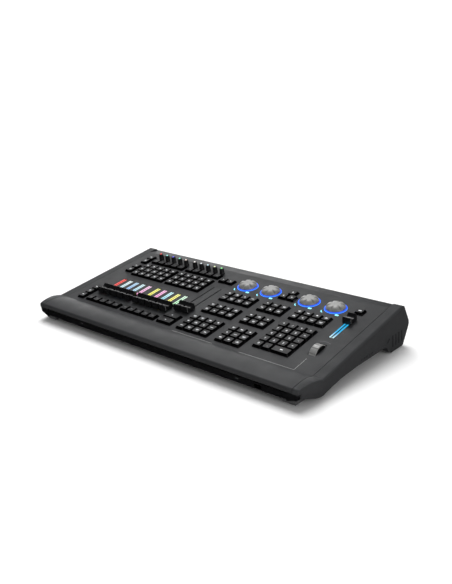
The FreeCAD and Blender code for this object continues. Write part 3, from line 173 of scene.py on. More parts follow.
def glow(name, low_colour, high_colour, strength, start, end):
    """Diffusing light guide whose colour runs from start to end, in metres, along the object's Y axis."""
    made = surface(name, shade(high_colour, 0.12)[:3], 0.5, bump=0.03)
    tree = made.node_tree
    shader = tree.nodes["Principled BSDF"]
    shader.inputs["Emission Strength"].default_value = strength
    coordinates = tree.nodes.new("ShaderNodeTexCoord").outputs["Object"]
    parts = tree.nodes.new("ShaderNodeSeparateXYZ")
    tree.links.new(coordinates, parts.inputs[0])
    along = add_node(tree, "ShaderNodeMapRange", **{"From Min": start, "From Max": end})
    tree.links.new(parts.outputs["Y"], along.inputs["Value"])
    mix = tree.nodes.new("ShaderNodeMix")
    mix.data_type = "RGBA"
    mix.inputs[6].default_value = tuple(low_colour) + (1.0,)
    mix.inputs[7].default_value = tuple(high_colour) + (1.0,)
    tree.links.new(along.outputs["Result"], mix.inputs[0])
    tree.links.new(mix.outputs[2], shader.inputs["Emission Color"])
    return made


def make_materials():
    """Every material that is shared between pieces."""
    return {
        "panel": surface("panel_coat", CHARCOAL, 0.5, Specular_IOR_Level=0.5),
        "cheek": surface("cheek_coat", CHEEK_GREY, 0.55, Specular_IOR_Level=0.4),
        "case": surface("case_coat", CASE_BLACK, 0.6),
        # Front rail and corner blocks: black plastic plus painted shade of the recess.
        "front": surface("front_plastic", FRONT_BLACK_AND_SHADE, 0.35, grain=900.0, bump=0.05),
        "foot": surface("foot_rubber", (0.09, 0.09, 0.092), 0.8, grain=2500.0, bump=0.2),
        "key_side": surface("key_gloss", KEY_SIDE, 0.18, grain=600.0, bump=0.02, Coat_Weight=0.3),
        "key_top": surface("key_face", KEY_TOP, 0.4, grain=2600.0, bump=0.06),
        "legend": surface("legend_print", LEGEND_WHITE, 0.5, bump=0.03),
        "legend_dim": surface("legend_dim_print", LEGEND_DIM, 0.5, bump=0.03),
        "print": surface("panel_print", (0.5, 0.5, 0.49), 0.55, bump=0.03),
        "fader": surface("fader_black", (0.008, 0.008, 0.009), 0.3, grain=1500.0, bump=0.05),
        # Pale grey strip along a fader cap's front crest: a painted highlight.
        "crest": surface("crest_line", (0.2, 0.2, 0.205), 0.4, bump=0.03),
        "index": surface("index_line", (0.3, 0.3, 0.3), 0.45, bump=0.03),
        "knob": surface("knob_black", (0.01, 0.01, 0.011), 0.35, grain=1500.0, bump=0.05),
        "silver": surface(
            "dial_silver", SILVER, 0.34, grain=1300.0, bump=0.05, tone=0.06, Metallic=0.2
        ),
        "steel": surface("plated_steel", (0.55, 0.55, 0.56), 0.3, grain=700.0, bump=0.04, Metallic=1.0),
        "board": surface("solder_mask", (0.01, 0.07, 0.03), 0.4, grain=400.0, bump=0.1, tone=0.3),
        "contact": surface("contact_gold", (0.7, 0.5, 0.2), 0.25, bump=0.03, Metallic=1.0),
        "socket": surface("socket_black", (0.009, 0.009, 0.01), 0.42, bump=0.06),
        "screw": surface("screw_black", (0.02, 0.02, 0.021), 0.35, bump=0.05, Metallic=0.8),
        # Near black that fills slots and pin holes: painted shade.
        "hole": surface("painted_shade_black", (0.002, 0.002, 0.002), 0.8, bump=0.02),
    }


# ---------------------------------------------------------------- mesh helpers
def scaled(*numbers):
    """Vector in metres from millimetres."""
    return Vector(number * MM for number in numbers)


def rounded_rectangle(half_u, half_v, radius, steps=4):
    """Points of a rounded rectangle about the origin, counter-clockwise."""
    points = []
    for quarter in range(4):
        angle_0 = quarter * math.pi / 2
        sign_u = 1 if quarter in (0, 3) else -1
        sign_v = 1 if quarter in (0, 1) else -1
        for step in range(steps + 1):
            angle = angle_0 + step / steps * math.pi / 2
            points.append(
                (
                    sign_u * (half_u - radius) + radius * math.cos(angle),
                    sign_v * (half_v - radius) + radius * math.sin(angle),
                )
            )
    return points


def circle(radius, steps=24, start=0.0):
    """Points of a circle about the origin, counter-clockwise."""
    angles = [start + 2 * math.pi * step / steps for step in range(steps)]
    return [(radius * math.cos(angle), radius * math.sin(angle)) for angle in angles]


def add_ring(mesh, points, centre, height):
    """Loop of vertices about a centre, at one height."""
    return [mesh.verts.new(scaled(centre[0] + u, centre[1] + v, height)) for u, v in points]


def bridge(mesh, lower, upper, slot=0, smooth=True):
    """Faces between two loops of the same length."""
    for index in range(len(lower)):
        after = (index + 1) % len(lower)
        face = mesh.faces.new((lower[index], lower[after], upper[after], upper[index]))
        face.material_index = slot
        face.smooth = smooth


def add_lid(mesh, ring, slot=0, down=False):
    """Face that closes a loop."""
    face = mesh.faces.new(list(reversed(ring)) if down else ring)
    face.material_index = slot
    return face


def add_stack(mesh, centre, levels, slots, close_low=True):
    """Stack of loops, each given as (points, height); slots are the materials of the bands."""
    rings = [add_ring(mesh, points, centre, height) for points, height in levels]
    for index in range(len(rings) - 1):
        bridge(mesh, rings[index], rings[index + 1], slots[min(index, len(slots) - 1)])
    if close_low:
        add_lid(mesh, rings[0], slots[0], down=True)
    add_lid(mesh, rings[-1], slots[-1])
    return rings


def add_prism(mesh, outline, low, high, slot=0):
    """Prism over a counter-clockwise outline between two heights."""
    lower = [mesh.verts.new(scaled(u, v, low)) for u, v in outline]
    upper = [mesh.verts.new(scaled(u, v, high)) for u, v in outline]
    bridge(mesh, lower, upper, slot, smooth=False)
    add_lid(mesh, upper, slot)
    add_lid(mesh, lower, slot, down=True)


def box_outline(u, v, width, height):
    """Counter-clockwise rectangle about a centre."""
    half_w = width / 2
    half_h = height / 2
    return [
        (u - half_w, v - half_h),
        (u + half_w, v - half_h),
        (u + half_w, v + half_h),
        (u - half_w, v + half_h),
    ]


def new_piece(name, mesh, materials, body, matrix=PANEL, replaces=()):
    """Finish a piece: an object from a bmesh that rides on a body."""
    bmesh.ops.recalc_face_normals(mesh, faces=mesh.faces)
    data = bpy.data.meshes.new(name)
    mesh.to_mesh(data)
    mesh.free()
    for made in materials:
        data.materials.append(made)
    piece = bpy.data.objects.new(name, data)
    piece.matrix_world = matrix
    bpy.context.scene.collection.objects.link(piece)
    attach(piece, body)
    if replaces:
        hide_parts(*replaces)
    return piece


def soften(piece, width, angle=30.0, segments=2):
    """Rounded edges with clean shading."""
    bevel = piece.modifiers.new("edge_round", "BEVEL")
    bevel.width = width * MM
    bevel.segments = segments
    bevel.limit_method = "ANGLE"
    bevel.angle_limit = math.radians(angle)
    bevel.harden_normals = True
    bevel.use_clamp_overlap = True


def islands(node, to_local=TO_PANEL):
    """Low and high corners, in millimetres of a local frame, of each separate solid of a CAD node."""
    mesh = bmesh.new()
    mesh.from_mesh(frame["nodes"][node].data)
    bmesh.ops.remove_doubles(mesh, verts=mesh.verts, dist=1e-6)
    mesh.verts.index_update()
    seen = set()
    found = []
    for start in mesh.verts:
        if start.index in seen:
            continue
        seen.add(start.index)
        waiting = [start]
        low = Vector((1e9,) * 3)
        high = Vector((-1e9,) * 3)
        while waiting:
            vert = waiting.pop()
            point = (to_local @ vert.co) / MM
            low = Vector(map(min, low, point))
            high = Vector(map(max, high, point))
            for edge in vert.link_edges:
                other = edge.other_vert(vert)
                if other.index not in seen:
                    seen.add(other.index)
                    waiting.append(other)
        found.append((low, high))
    mesh.free()
    return sorted(found, key=lambda pair: (round(pair[0].y), round(pair[0].x)))


# ---------------------------------------------------------------- keys
KEY_FLOOR = -3.0
KEY_EDGE = 0.6
KEY_TOP_HEIGHT = 5.0
KEY_DISH = 0.25
MARK_RISE = 0.1
MARK_DEPTH = 0.4
DIGIT_SIZE = 6.4
FACE_INSET_U = 2.45
FACE_INSET_V = 2.1
DISH_EDGE = 0.9
ENTER_KEY = 2


def add_key(mesh, low, high):
    """Key with a straight skirt, sloping glossy sides and a dished face; returns its centre."""
    centre = ((low.x + high.x) / 2, (low.y + high.y) / 2)
    half_u = (high.x - low.x) / 2
    half_v = (high.y - low.y) / 2
    face_u = half_u - FACE_INSET_U
    face_v = half_v - FACE_INSET_V
    dish_u = face_u - DISH_EDGE
    dish_v = face_v - DISH_EDGE
    levels = [
        (rounded_rectangle(half_u, half_v, 1.1), KEY_FLOOR),
        (rounded_rectangle(half_u, half_v, 1.1), KEY_EDGE),
        (rounded_rectangle(half_u - 0.15, half_v - 0.15, 1.1), KEY_EDGE + 0.35),
        (rounded_rectangle(face_u + 0.25, face_v + 0.25, 1.5), KEY_TOP_HEIGHT - 0.45),
        (rounded_rectangle(face_u, face_v, 1.5), KEY_TOP_HEIGHT - 0.08),
        (rounded_rectangle(face_u - 0.35, face_v - 0.35, 1.4), KEY_TOP_HEIGHT),
        (rounded_rectangle(dish_u, dish_v, 1.3), KEY_TOP_HEIGHT - 0.08),
        (rounded_rectangle(dish_u * 0.6, dish_v * 0.6, 0.8), KEY_TOP_HEIGHT - KEY_DISH),
    ]
    add_stack(mesh, centre, levels, [0, 0, 0, 0, 1, 1, 1])
    return centre


def mark_bars(widths, heights=None, gap=0.9):
    """Outlines of short bars, one above the other, like a printed caption."""
    heights = heights or [1.3] * len(widths)
    total = sum(heights) + gap * (len(heights) - 1)
    top = total / 2
    outlines = []
    for width, height in zip(widths, heights):
        outlines.append(box_outline(0.0, top - height / 2, width, height))
        top -= height + gap
    return outlines


def mark_disc(radius):
    """Outline of a round mark."""
    return [circle(radius, 14)]


def mark_chevron(turn):
    """Solid arrow head that points along +v, turned by quarter turns."""
    shape = [(-2.2, -1.4), (2.2, -1.4), (0.0, 2.2)]
    angle = turn * math.pi / 2
    across = math.cos(angle)
    along = math.sin(angle)
    return [[(u * across - v * along, u * along + v * across) for u, v in shape]]


CAPTIONS = [
    mark_bars([5.6, 3.8]),
    mark_bars([6.4]),
    mark_bars([4.2, 6.0]),
    mark_bars([5.2], [2.2]),
    mark_bars([6.6, 4.6]),
    mark_disc(1.5),
    mark_bars([3.4], [3.0]),
]
BANK_MARKS = {
    "left_column_keys": ("legend", [mark_bars([4.6], [2.2]), mark_bars([5.0, 3.6])]),
    "select_keys": ("legend_dim", [mark_bars([5.0], [1.2])]),
    "execute_keys": ("legend", [mark_disc(1.9)]),
    "flash_keys": ("legend_dim", [mark_bars([5.4, 5.4], [0.8, 0.8])]),
    "master_keys": ("legend", [mark_disc(1.2)]),
    "arrow_keys": ("legend", [mark_chevron(1), mark_chevron(2), mark_chevron(0)]),
    "menu_key": ("legend", [mark_bars([6.2], [2.4])]),
}


def digit_outlines(text):
    """Mesh of one digit or sign in the built-in typeface, about its own middle."""
    curve = bpy.data.curves.new("digit_form", "FONT")
    curve.body = text
    curve.size = DIGIT_SIZE * MM
    curve.align_x = "CENTER"
    curve.align_y = "CENTER"
    curve.extrude = MARK_RISE * MM
    curve.offset = 0.12 * MM
    holder = bpy.data.objects.new("digit_form", curve)
    made = bpy.data.meshes.new_from_object(holder)
    bpy.data.objects.remove(holder)
    bpy.data.curves.remove(curve)
    return made


NUMBER_FACES = ["0", ".", "E", "1", "2", "3", "+", "4", "5", "6", "-", "7", "8", "9", "=", "*", "/", "<", ">"]


def add_marks(mesh, centre, shapes, slot):
    """Printed shapes on a key's face."""
    high = KEY_TOP_HEIGHT - KEY_DISH + MARK_RISE
    for shape in shapes:
        outline = [(centre[0] + u, centre[1] + v) for u, v in shape]
        add_prism(mesh, outline, high - MARK_DEPTH, high, slot)


def add_digit(mesh, centre, text, slot):
    """Printed digit on a key's face."""
    made = digit_outlines(text)
    first_vert = len(mesh.verts)
    first_face = len(mesh.faces)
    mesh.from_mesh(made)
    mesh.verts.ensure_lookup_table()
    mesh.faces.ensure_lookup_table()
    height = KEY_TOP_HEIGHT - KEY_DISH
    for vert in mesh.verts[first_vert:]:
        vert.co += scaled(centre[0], centre[1], height)
    for face in mesh.faces[first_face:]:
        face.material_index = slot
    bpy.data.meshes.remove(made)


def make_key_bank(bank, made):
    """Refined keys of one bank in place of its plain CAD keys."""
    tone, marks = BANK_MARKS.get(bank, ("legend", None))
    mesh = bmesh.new()
    for index, (low, high) in enumerate(islands(bank)):
        centre = add_key(mesh, low, high)
        if bank == "number_keys" and index != ENTER_KEY:
            add_digit(mesh, centre, NUMBER_FACES[index], 2)
        elif marks:
            add_marks(mesh, centre, marks[index % len(marks)], 2)
        else:
            add_marks(mesh, centre, CAPTIONS[(index * 3 + len(bank)) % len(CAPTIONS)], 2)
    new_piece(
        f"{bank}_caps", mesh, [made["key_side"], made["key_top"], made[tone]], bank,
        replaces=[bank],
    )


# ---------------------------------------------------------------- faders
CAP_BASE = 0.9
CAP_END = 3.0
CAP_SADDLE = 8.2
REAR_DROP = 0.6
SADDLE_STEPS = 12
# Inset from the cap's end and drop below its crest, going up to the crest.
CREST_STEPS = [(0.9, 1.4), (1.5, 0.4), (2.4, 0.0)]
# Caps that get a thin pale line down their right end.
RIGHT_LINE_CAPS = ("playback_fader_10", "master_fader_2", "grand_master_fader")


def cap_profile(half_run, crest):
    """Side view of a cap: its base, rear crest, saddle and front crest."""
    rear = crest - REAR_DROP
    profile = [(-half_run, CAP_BASE), (half_run, CAP_BASE), (half_run, CAP_BASE + CAP_END)]
    profile += [(half_run - inset, rear - drop) for inset, drop in CREST_STEPS]
    reach = half_run - 3.2
    for step in range(SADDLE_STEPS + 1):
        share = 1 - 2 * step / SADDLE_STEPS
        profile.append((share * reach, CAP_SADDLE + (crest - 0.3 - CAP_SADDLE) * share * share))
    profile += [(inset - half_run, crest - drop) for inset, drop in reversed(CREST_STEPS)]
    profile.append((-half_run, CAP_BASE + CAP_END))
    return profile


def make_fader(body, made):
    """Saddle-backed fader cap with its metal tang and index line, a pale strip along its front crest as a
    painted highlight, and on three caps a thin pale line down the right end.
    """
    low, high = islands(body)[0]
    u = (low.x + high.x) / 2
    v = (low.y + high.y) / 2
    half_width = (high.x - low.x) / 2
    half_run = (high.y - low.y) / 2
    profile = cap_profile(half_run, high.z)
    mesh = bmesh.new()
    sides = []
    for offset in (-half_width, half_width):
        sides.append([mesh.verts.new(scaled(u + offset, v + y, z)) for y, z in profile])
    bridge(mesh, sides[0], sides[1])
    add_lid(mesh, sides[0], down=True)
    add_lid(mesh, sides[1])
    add_prism(mesh, box_outline(u, v, 1.0, 3.0), low.z, CAP_BASE + 1.0, 1)
    cap = new_piece(
        f"{body}_cap", mesh, [made["fader"], made["steel"]], body, replaces=[body]
    )
    soften(cap, 0.5)
    line = bmesh.new()
    add_prism(line, box_outline(u, v, 2 * half_width - 1.2, 0.8), CAP_SADDLE - 0.5, CAP_SADDLE + 0.14)
    new_piece(f"{body}_line", line, [made["index"]], body)
    # Pale strip along the front crest: a painted highlight. Three caps also get a thin pale line down their
    # right end.
    crest_highlight_and_end_line = bmesh.new()
    front = v - half_run + 2.3
    add_prism(crest_highlight_and_end_line, box_outline(u, front, 2 * half_width - 1.0, 0.7), high.z - 0.5, high.z + 0.08)
    if body in RIGHT_LINE_CAPS:
        add_prism(crest_highlight_and_end_line, box_outline(u + half_width, front, 0.24, 0.8), CAP_BASE + 2.0, high.z - 0.5, 1)
    new_piece(f"{body}_crests", crest_highlight_and_end_line, [made["crest"], made["index"]], body)


def panel_point(position):
    """Panel-frame point, in millimetres, of a row-frame position in metres."""
    return (TO_PANEL @ Vector(position)) / MM


def make_tracks(made):
    """Lit tracks of the playback faders and the two bars of the grand master."""
    guides = sorted(islands("fader_light_guides"), key=lambda pair: pair[0].x)
    for index, (low, high) in enumerate(guides[:-1]):
        lower, upper = TRACK_COLOURS[index]
        light = glow(f"track_light_{index + 1}", lower, upper, 1.1, low.y * MM, high.y * MM)
        mesh = bmesh.new()
        add_slotted_bar(mesh, low, high, 1.6, 3.7, 0.9, 3.7)
        replaced = ["fader_light_guides"] if index == 0 else ()
        bar = new_piece(
            f"playback_track_{index + 1}", mesh, [light, made["case"]], "chassis",
            replaces=replaced,
        )
        soften(bar, 0.25)
    low, high = guides[-1]
    light = glow("grand_light", (0.8, 1.0, 1.0), (0.03, 0.5, 0.9), 0.9, low.y * MM, (low.y + 22) * MM)
    mesh = bmesh.new()
    add_slotted_bar(mesh, low, high, 3.0, 0.9, 0.9, 1.8)
    bar = new_piece("grand_master_track", mesh, [light, made["case"]], "chassis")
    soften(bar, 0.25)


def add_slotted_bar(mesh, low, high, slot_width, near, far, dark_end, border=0.5):
    """Flat bar with a long slot down its middle, and dark sides and far end round its lit face."""
    middle = (low.x + high.x) / 2
    top = high.z + 0.2
    edges = [low.x, low.x + border, middle - slot_width / 2, middle + slot_width / 2, high.x - border, high.x]
    ends = [low.y, low.y + near, high.y - dark_end, high.y - far, high.y]
    last_u = len(edges) - 1
    last_v = len(ends) - 1
    grid = {}
    for i, u in enumerate(edges):
        for j, v in enumerate(ends):
            for k, n in enumerate((low.z, top)):
                grid[i, j, k] = mesh.verts.new(scaled(u, v, n))
    for i in range(last_u):
        for j in range(last_v):
            if i == 2 and j in (1, 2):
                continue
            dark = 1 if i in (0, last_u - 1) or j >= 2 else 0
            for k in range(2):
                corners = (grid[i, j, k], grid[i + 1, j, k], grid[i + 1, j + 1, k], grid[i, j + 1, k])
                mesh.faces.new(corners).material_index = dark
    loop = [(0, j) for j in range(last_v)] + [(i, last_v) for i in range(last_u)]
    loop += [(last_u, j) for j in range(last_v, 0, -1)] + [(i, 0) for i in range(last_u, 0, -1)]
    hole = [(2, 1), (2, 2), (2, 3), (3, 3), (3, 2), (3, 1)]
    for path in (loop, hole):
        for index, (i, j) in enumerate(path):
            x, y = path[(index + 1) % len(path)]
            mesh.faces.new((grid[i, j, 0], grid[x, y, 0], grid[x, y, 1], grid[i, j, 1])).material_index = 1


# ---------------------------------------------------------------- knobs, dials and the wheel
KNOB_STEPS = 48
KNOB_RIBS = 12
TIP_RADIUS = 1.9
SHAFT_RADIUS = 2.9


def ribbed(size, depth):
    """Circle with shallow even ribs."""
    points = []
    for step in range(KNOB_STEPS):
        angle = 2 * math.pi * step / KNOB_STEPS
        reach = size - depth * (0.5 + 0.5 * math.cos(KNOB_RIBS * angle))
        points.append((reach * math.cos(angle), reach * math.sin(angle)))
    return points


def make_lit_knob(number, made):
    """Small ribbed knob with a lit tip."""
    body = f"lit_knob_{number}"
    low, high = islands(body)[0]
    centre = ((low.x + high.x) / 2, (low.y + high.y) / 2)
    top = high.z
    radius = (high.x - low.x) / 2
    mesh = bmesh.new()
    levels = [
        (ribbed(radius, 0.0), 1.0),
        (ribbed(radius, 0.0), 2.4),
        (ribbed(radius - 0.4, 0.35), 3.2),
        (ribbed(radius - 1.0, 0.4), top - 3.0),
        (ribbed(radius - 1.4, 0.2), top - 1.6),
        (ribbed(radius - 2.0, 0.0), top - 1.1),
    ]
    add_stack(mesh, centre, levels, [0])
    shaft = [(circle(SHAFT_RADIUS, KNOB_STEPS), low.z), (circle(SHAFT_RADIUS, KNOB_STEPS), 1.2)]
    add_stack(mesh, centre, shaft, [1])
    new_piece(f"{body}_grip", mesh, [made["knob"], made["steel"]], body, replaces=[body])
    colour = TIP_COLOURS[number - 1]
    tip = bmesh.new()
    levels = [
        (circle(TIP_RADIUS, KNOB_STEPS), top - 1.4),
        (circle(TIP_RADIUS, KNOB_STEPS), top - 0.5),
        (circle(TIP_RADIUS * 0.85, KNOB_STEPS), top - 0.15),
        (circle(TIP_RADIUS * 0.5, KNOB_STEPS), top),
    ]
    add_stack(tip, centre, levels, [0])
    light = glow(f"tip_light_{number}", colour, colour, 1.1, 0.0, 1.0)
    new_piece(f"{body}_tip", tip, [light], body)
    # The tip's light spills onto the collar round it.
    collar = bmesh.new()
    levels = [
        (circle(TIP_RADIUS + 0.7, KNOB_STEPS), top - 1.3),
        (circle(TIP_RADIUS + 0.2, KNOB_STEPS), top - 0.85),
    ]
    add_stack(collar, centre, levels, [0])
    spill = glow(f"spill_light_{number}", colour, colour, 0.16, 0.0, 1.0)
    new_piece(f"{body}_collar", collar, [spill], body)


def lobed(radius, depth, width=0.2, count=6, steps=132):
    """Circle with narrow valleys between broad lobes."""
    points = []
    spacing = 2 * math.pi / count
    for step in range(steps):
        angle = 2 * math.pi * step / steps
        offset = (angle + spacing / 2) % spacing - spacing / 2
        reach = radius - depth * math.exp(-((offset / width) ** 2))
        points.append((reach * math.cos(angle + math.pi / 2), reach * math.sin(angle + math.pi / 2)))
    return points


def make_dial(number, made):
    """Large silver knob: a dome of six lobes on a round skirt."""
    body = f"encoder_knob_{number}"
    low, high = islands(body)[0]
    spot = panel_point(JOINTS[f"encoder_{number}_turn"]["pos_m"])
    centre = (spot.x, spot.y)
    radius = (high.x - low.x) / 2
    top = high.z
    mesh = bmesh.new()
    levels = [
        (lobed(radius - 1.2, 0.0), 1.2),
        (lobed(radius, 0.0), 1.6),
        (lobed(radius, 0.0), 2.4),
        (lobed(radius - 0.3, 0.6, 0.12), 3.0),
        (lobed(radius - 0.7, 3.4, 0.12), 4.2),
        (lobed(radius - 1.7, 4.6, 0.12), 5.9),
        (lobed(radius - 3.2, 4.8, 0.13), 7.5),
        (lobed(radius - 5.2, 4.4, 0.15), top - 0.95),
        (lobed(radius - 8.0, 3.4, 0.18), top - 0.3),
        (lobed(radius - 10.5, 1.8, 0.24), top - 0.05),
        (lobed(radius - 13.0, 0.2, 0.4), top),
    ]
    add_stack(mesh, centre, levels, [0])
    shaft = [(circle(SHAFT_RADIUS, 32), low.z), (circle(SHAFT_RADIUS, 32), 1.4)]
    add_stack(mesh, centre, shaft, [1])
    new_piece(
        f"{body}_dome", mesh, [made["silver"], made["steel"]], body, replaces=[body]
    )


RING_BORE = 5.2
RING_FLOOR = -2.0
RING_STEPS = 64


def make_light_rings():
    """Lit rings under the dials, and the two lit signs beside each."""
    spots = [panel_point(JOINTS[f"encoder_{number}_turn"]["pos_m"]) for number in range(1, 5)]
    low, high = islands("encoder_light_rings")[0]
    outer = (high.x - low.x) / 2
    mesh = bmesh.new()
    for spot in spots:
        profile = [
            (outer, RING_FLOOR),
            (outer, 0.5),
            (outer - 0.4, 0.9),
            (outer - 1.4, 1.05),
            (outer - 3.0, 0.8),
            (outer - 3.8, 0.45),
            (RING_BORE, 0.45),
        ]
        centre = (spot.x, spot.y)
        rings = [add_ring(mesh, circle(radius, RING_STEPS), centre, height) for radius, height in profile]
        bore = add_ring(mesh, circle(RING_BORE, RING_STEPS), centre, RING_FLOOR)
        for index in range(len(rings) - 1):
            bridge(mesh, rings[index], rings[index + 1], 1 if index >= 3 else 0)
        bridge(mesh, rings[-1], bore, 1)
        bridge(mesh, bore, rings[0], 1)
    v = ENCODER_V * MM
    bright = glow("ring_light", (0.04, 0.22, 1.0), (0.03, 0.16, 1.0), 1.5, v - 0.023, v + 0.023)
    deep = glow("ring_deep_light", (0.01, 0.05, 1.0), (0.0, 0.02, 0.7), 1.1, v - 0.023, v + 0.023)
    new_piece(
        "encoder_rings_lit", mesh, [bright, deep], "chassis",
        replaces=["encoder_light_rings"],
    )
    signs = bmesh.new()
    for spot in spots:
        add_prism(signs, crescent(spot.x - 16.5, spot.y - 21.0), -0.2, 0.12)
        outline = [(spot.x + 15.0 + x, spot.y - 22.0 + y) for x, y in rounded_rectangle(3.6, 2.2, 1.0)]
        add_prism(signs, outline, -0.2, 0.12)
    cyan = glow("sign_light", (0.2, 0.85, 1.0), (0.35, 0.9, 1.0), 1.5, v - 0.05, v)
    new_piece("encoder_signs", signs, [cyan], "chassis")


def crescent(u, v):
    """Crescent outline, long side along the ring beside it, hollow side towards the ring."""
    turn = Matrix.Rotation(math.radians(37), 2)
    outer = [(-3.0 * math.cos(a), -4.8 * math.sin(a)) for a in (math.radians(d) for d in range(-80, 81, 16))]
    inner = [(-1.0 * math.cos(a), -4.2 * math.sin(a)) for a in (math.radians(d) for d in range(80, -81, -16))]
    points = [turn @ Vector(point) for point in outer + inner]
    return [(u + point.x, v + point.y) for point in reversed(points)]


WHEEL_HALF = 6.75
WHEEL_STEPS = 120
AXLE_HALF = 10.0
AXLE_RADIUS = 2.4
GROOVE_DEPTH = 0.9
GROOVE_SPACING = 10
# Distance in from the wheel's side and depth below its rim.
WHEEL_EDGE = [(0.0, 1.0), (0.6, 0.3), (1.6, 0.0)]


def make_level_wheel(made):
    """Silver edge wheel with shallow grooves, on its axle."""
    joint = JOINTS["level_wheel_turn"]
    low, high = islands("level_wheel", Matrix.Identity(4))[0]
    radius = (high.z - low.z) / 2
    mesh = bmesh.new()
    profile = [(inward - WHEEL_HALF, inset) for inward, inset in WHEEL_EDGE]
    profile += [(WHEEL_HALF - inward, inset) for inward, inset in reversed(WHEEL_EDGE)]
    rows = []
    for offset, inset in profile:
        row = []
        for step in range(WHEEL_STEPS):
            angle = 2 * math.pi * step / WHEEL_STEPS
            grooved = step % GROOVE_SPACING in (0, 1) and inset < 0.5
            reach = radius - inset - (GROOVE_DEPTH if grooved else 0.0)
            row.append(mesh.verts.new(scaled(offset, reach * math.cos(angle), reach * math.sin(angle))))
        rows.append(row)
    for first, second in zip(rows, rows[1:]):
        bridge(mesh, first, second, smooth=False)
    rim = circle(AXLE_RADIUS, WHEEL_STEPS)
    for sign, row in ((-1, rows[0]), (1, rows[-1])):
        hub = [mesh.verts.new(scaled(sign * WHEEL_HALF, y, z)) for y, z in rim]
        tip = [mesh.verts.new(scaled(sign * AXLE_HALF, y, z)) for y, z in rim]
        bridge(mesh, row, hub, 1, smooth=False)
        bridge(mesh, hub, tip, 1)
        add_lid(mesh, tip, 1)
    place = Matrix.Translation(Vector(joint["pos_m"]))
    new_piece(
        "level_wheel_rim", mesh, [made["silver"], made["screw"]], "level_wheel", place,
        replaces=["level_wheel"],
    )


# ---------------------------------------------------------------- panel details
PRINT_LOW = -0.15
PRINT_HIGH = 0.05
LINE_WIDTH = 0.55
TICK_LENGTH = 2.6
TICK_WIDTH = 0.35
TICK_PITCH = 20.0
KEY_PITCH = 19.05
# Middle, width and height of each white line.
WHITE_LINES = [
    (269.3, 19.0, LINE_WIDTH, 38.0),
    (212.9, 0.3, 113.4, LINE_WIDTH),
    (48.0, 0.3, 96.0, LINE_WIDTH),
]


def elliptic_arc(u, v, half_u, half_v, first, last, step):
    """Points along part of an ellipse, between two angles in degrees."""
    angles = [math.radians(degrees) for degrees in range(first, last, step)]
    return [(u + half_u * math.cos(angle), v + half_v * math.sin(angle)) for angle in angles]


def add_tick(mesh, u, v):
    """Short dim line beside a fader's slot."""
    add_prism(mesh, box_outline(u, v, TICK_LENGTH, TICK_WIDTH), PRINT_LOW, PRINT_HIGH, 1)


def make_prints(made):
    """Thin printed lines, ticks beside the long faders and the arc over the level wheel."""
    mesh = bmesh.new()
    for line in WHITE_LINES:
        add_prism(mesh, box_outline(*line), PRINT_LOW, PRINT_HIGH)
    for column in range(2):
        for tick in range(6):
            add_tick(mesh, -44.1 + KEY_PITCH * column + 6.0, 73.3 + TICK_PITCH * tick)
    for tick in range(4):
        add_tick(mesh, 280.0, 117.6 + TICK_PITCH * tick)
    arc = elliptic_arc(270, 94, 11, 5, 20, 161, 14)
    arc += elliptic_arc(270, 94, 10.4, 4.4, 160, 19, -14)
    add_prism(mesh, arc, PRINT_LOW, PRINT_HIGH, 1)
    new_piece("panel_lines", mesh, [made["print"], made["legend_dim"]], "chassis")


def make_front_marks(made):
    """Two small status marks on the recessed front face."""
    low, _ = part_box("front_rail")
    mesh = bmesh.new()
    for x, z in ((-192.0, 18.5), (195.0, 17.4)):
        for offset in (0.0, 3.4):
            add_prism(mesh, [(x + offset + u, z + v) for u, v in circle(0.9, 12)], -0.1, 0.15)
    place = Matrix.Translation((0, low.y, 0)) @ Matrix.Rotation(math.pi / 2, 4, "X")
    new_piece("front_marks", mesh, [made["legend_dim"]], "chassis", place)


# Black sheets behind a cheek's slots and black fills in them, painted shade for the dark inside of the cheek,
# in millimetres back and up from the fold line.
HEEL_SHADE_SHEET = [(237.5, -26.0), (276.0, -26.0), (286.5, 4.0), (212.5, 4.0), (212.5, -10.0)]
SLIT_SHADE_SHEET = box_outline(139.0, -7.9, 48.0, 5.8)
SHADE_SHEET_THICK = 0.6
SLOT_COUNT = 4
SLOT_PITCH = 12.0
SLIT_COUNT = 5
SLIT_PITCH = 9.0
GILL_SHADE_FILL = [(213.1, -8.9), (216.4, -8.9), (223.3, -2.1), (220.0, -2.1)]
SHADE_FILL_BACK = 4.6
SHADE_FILL_FACE = 0.45
SHADE_PIECE_TURN = Matrix(((0, 0, 1, 0), (1, 0, 0, 0), (0, 1, 0, 0), (0, 0, 0, 1)))


def slanted_slot(top, low, high, lean, width):
    """Slot outline that leans back by the given amount from its top end, a little inside the real slot."""
    inside = 0.1
    return [
        (top + lean + inside, low + inside),
        (top + lean + width - inside, low + inside),
        (top + width - inside, high - inside),
        (top + inside, high - inside),
    ]


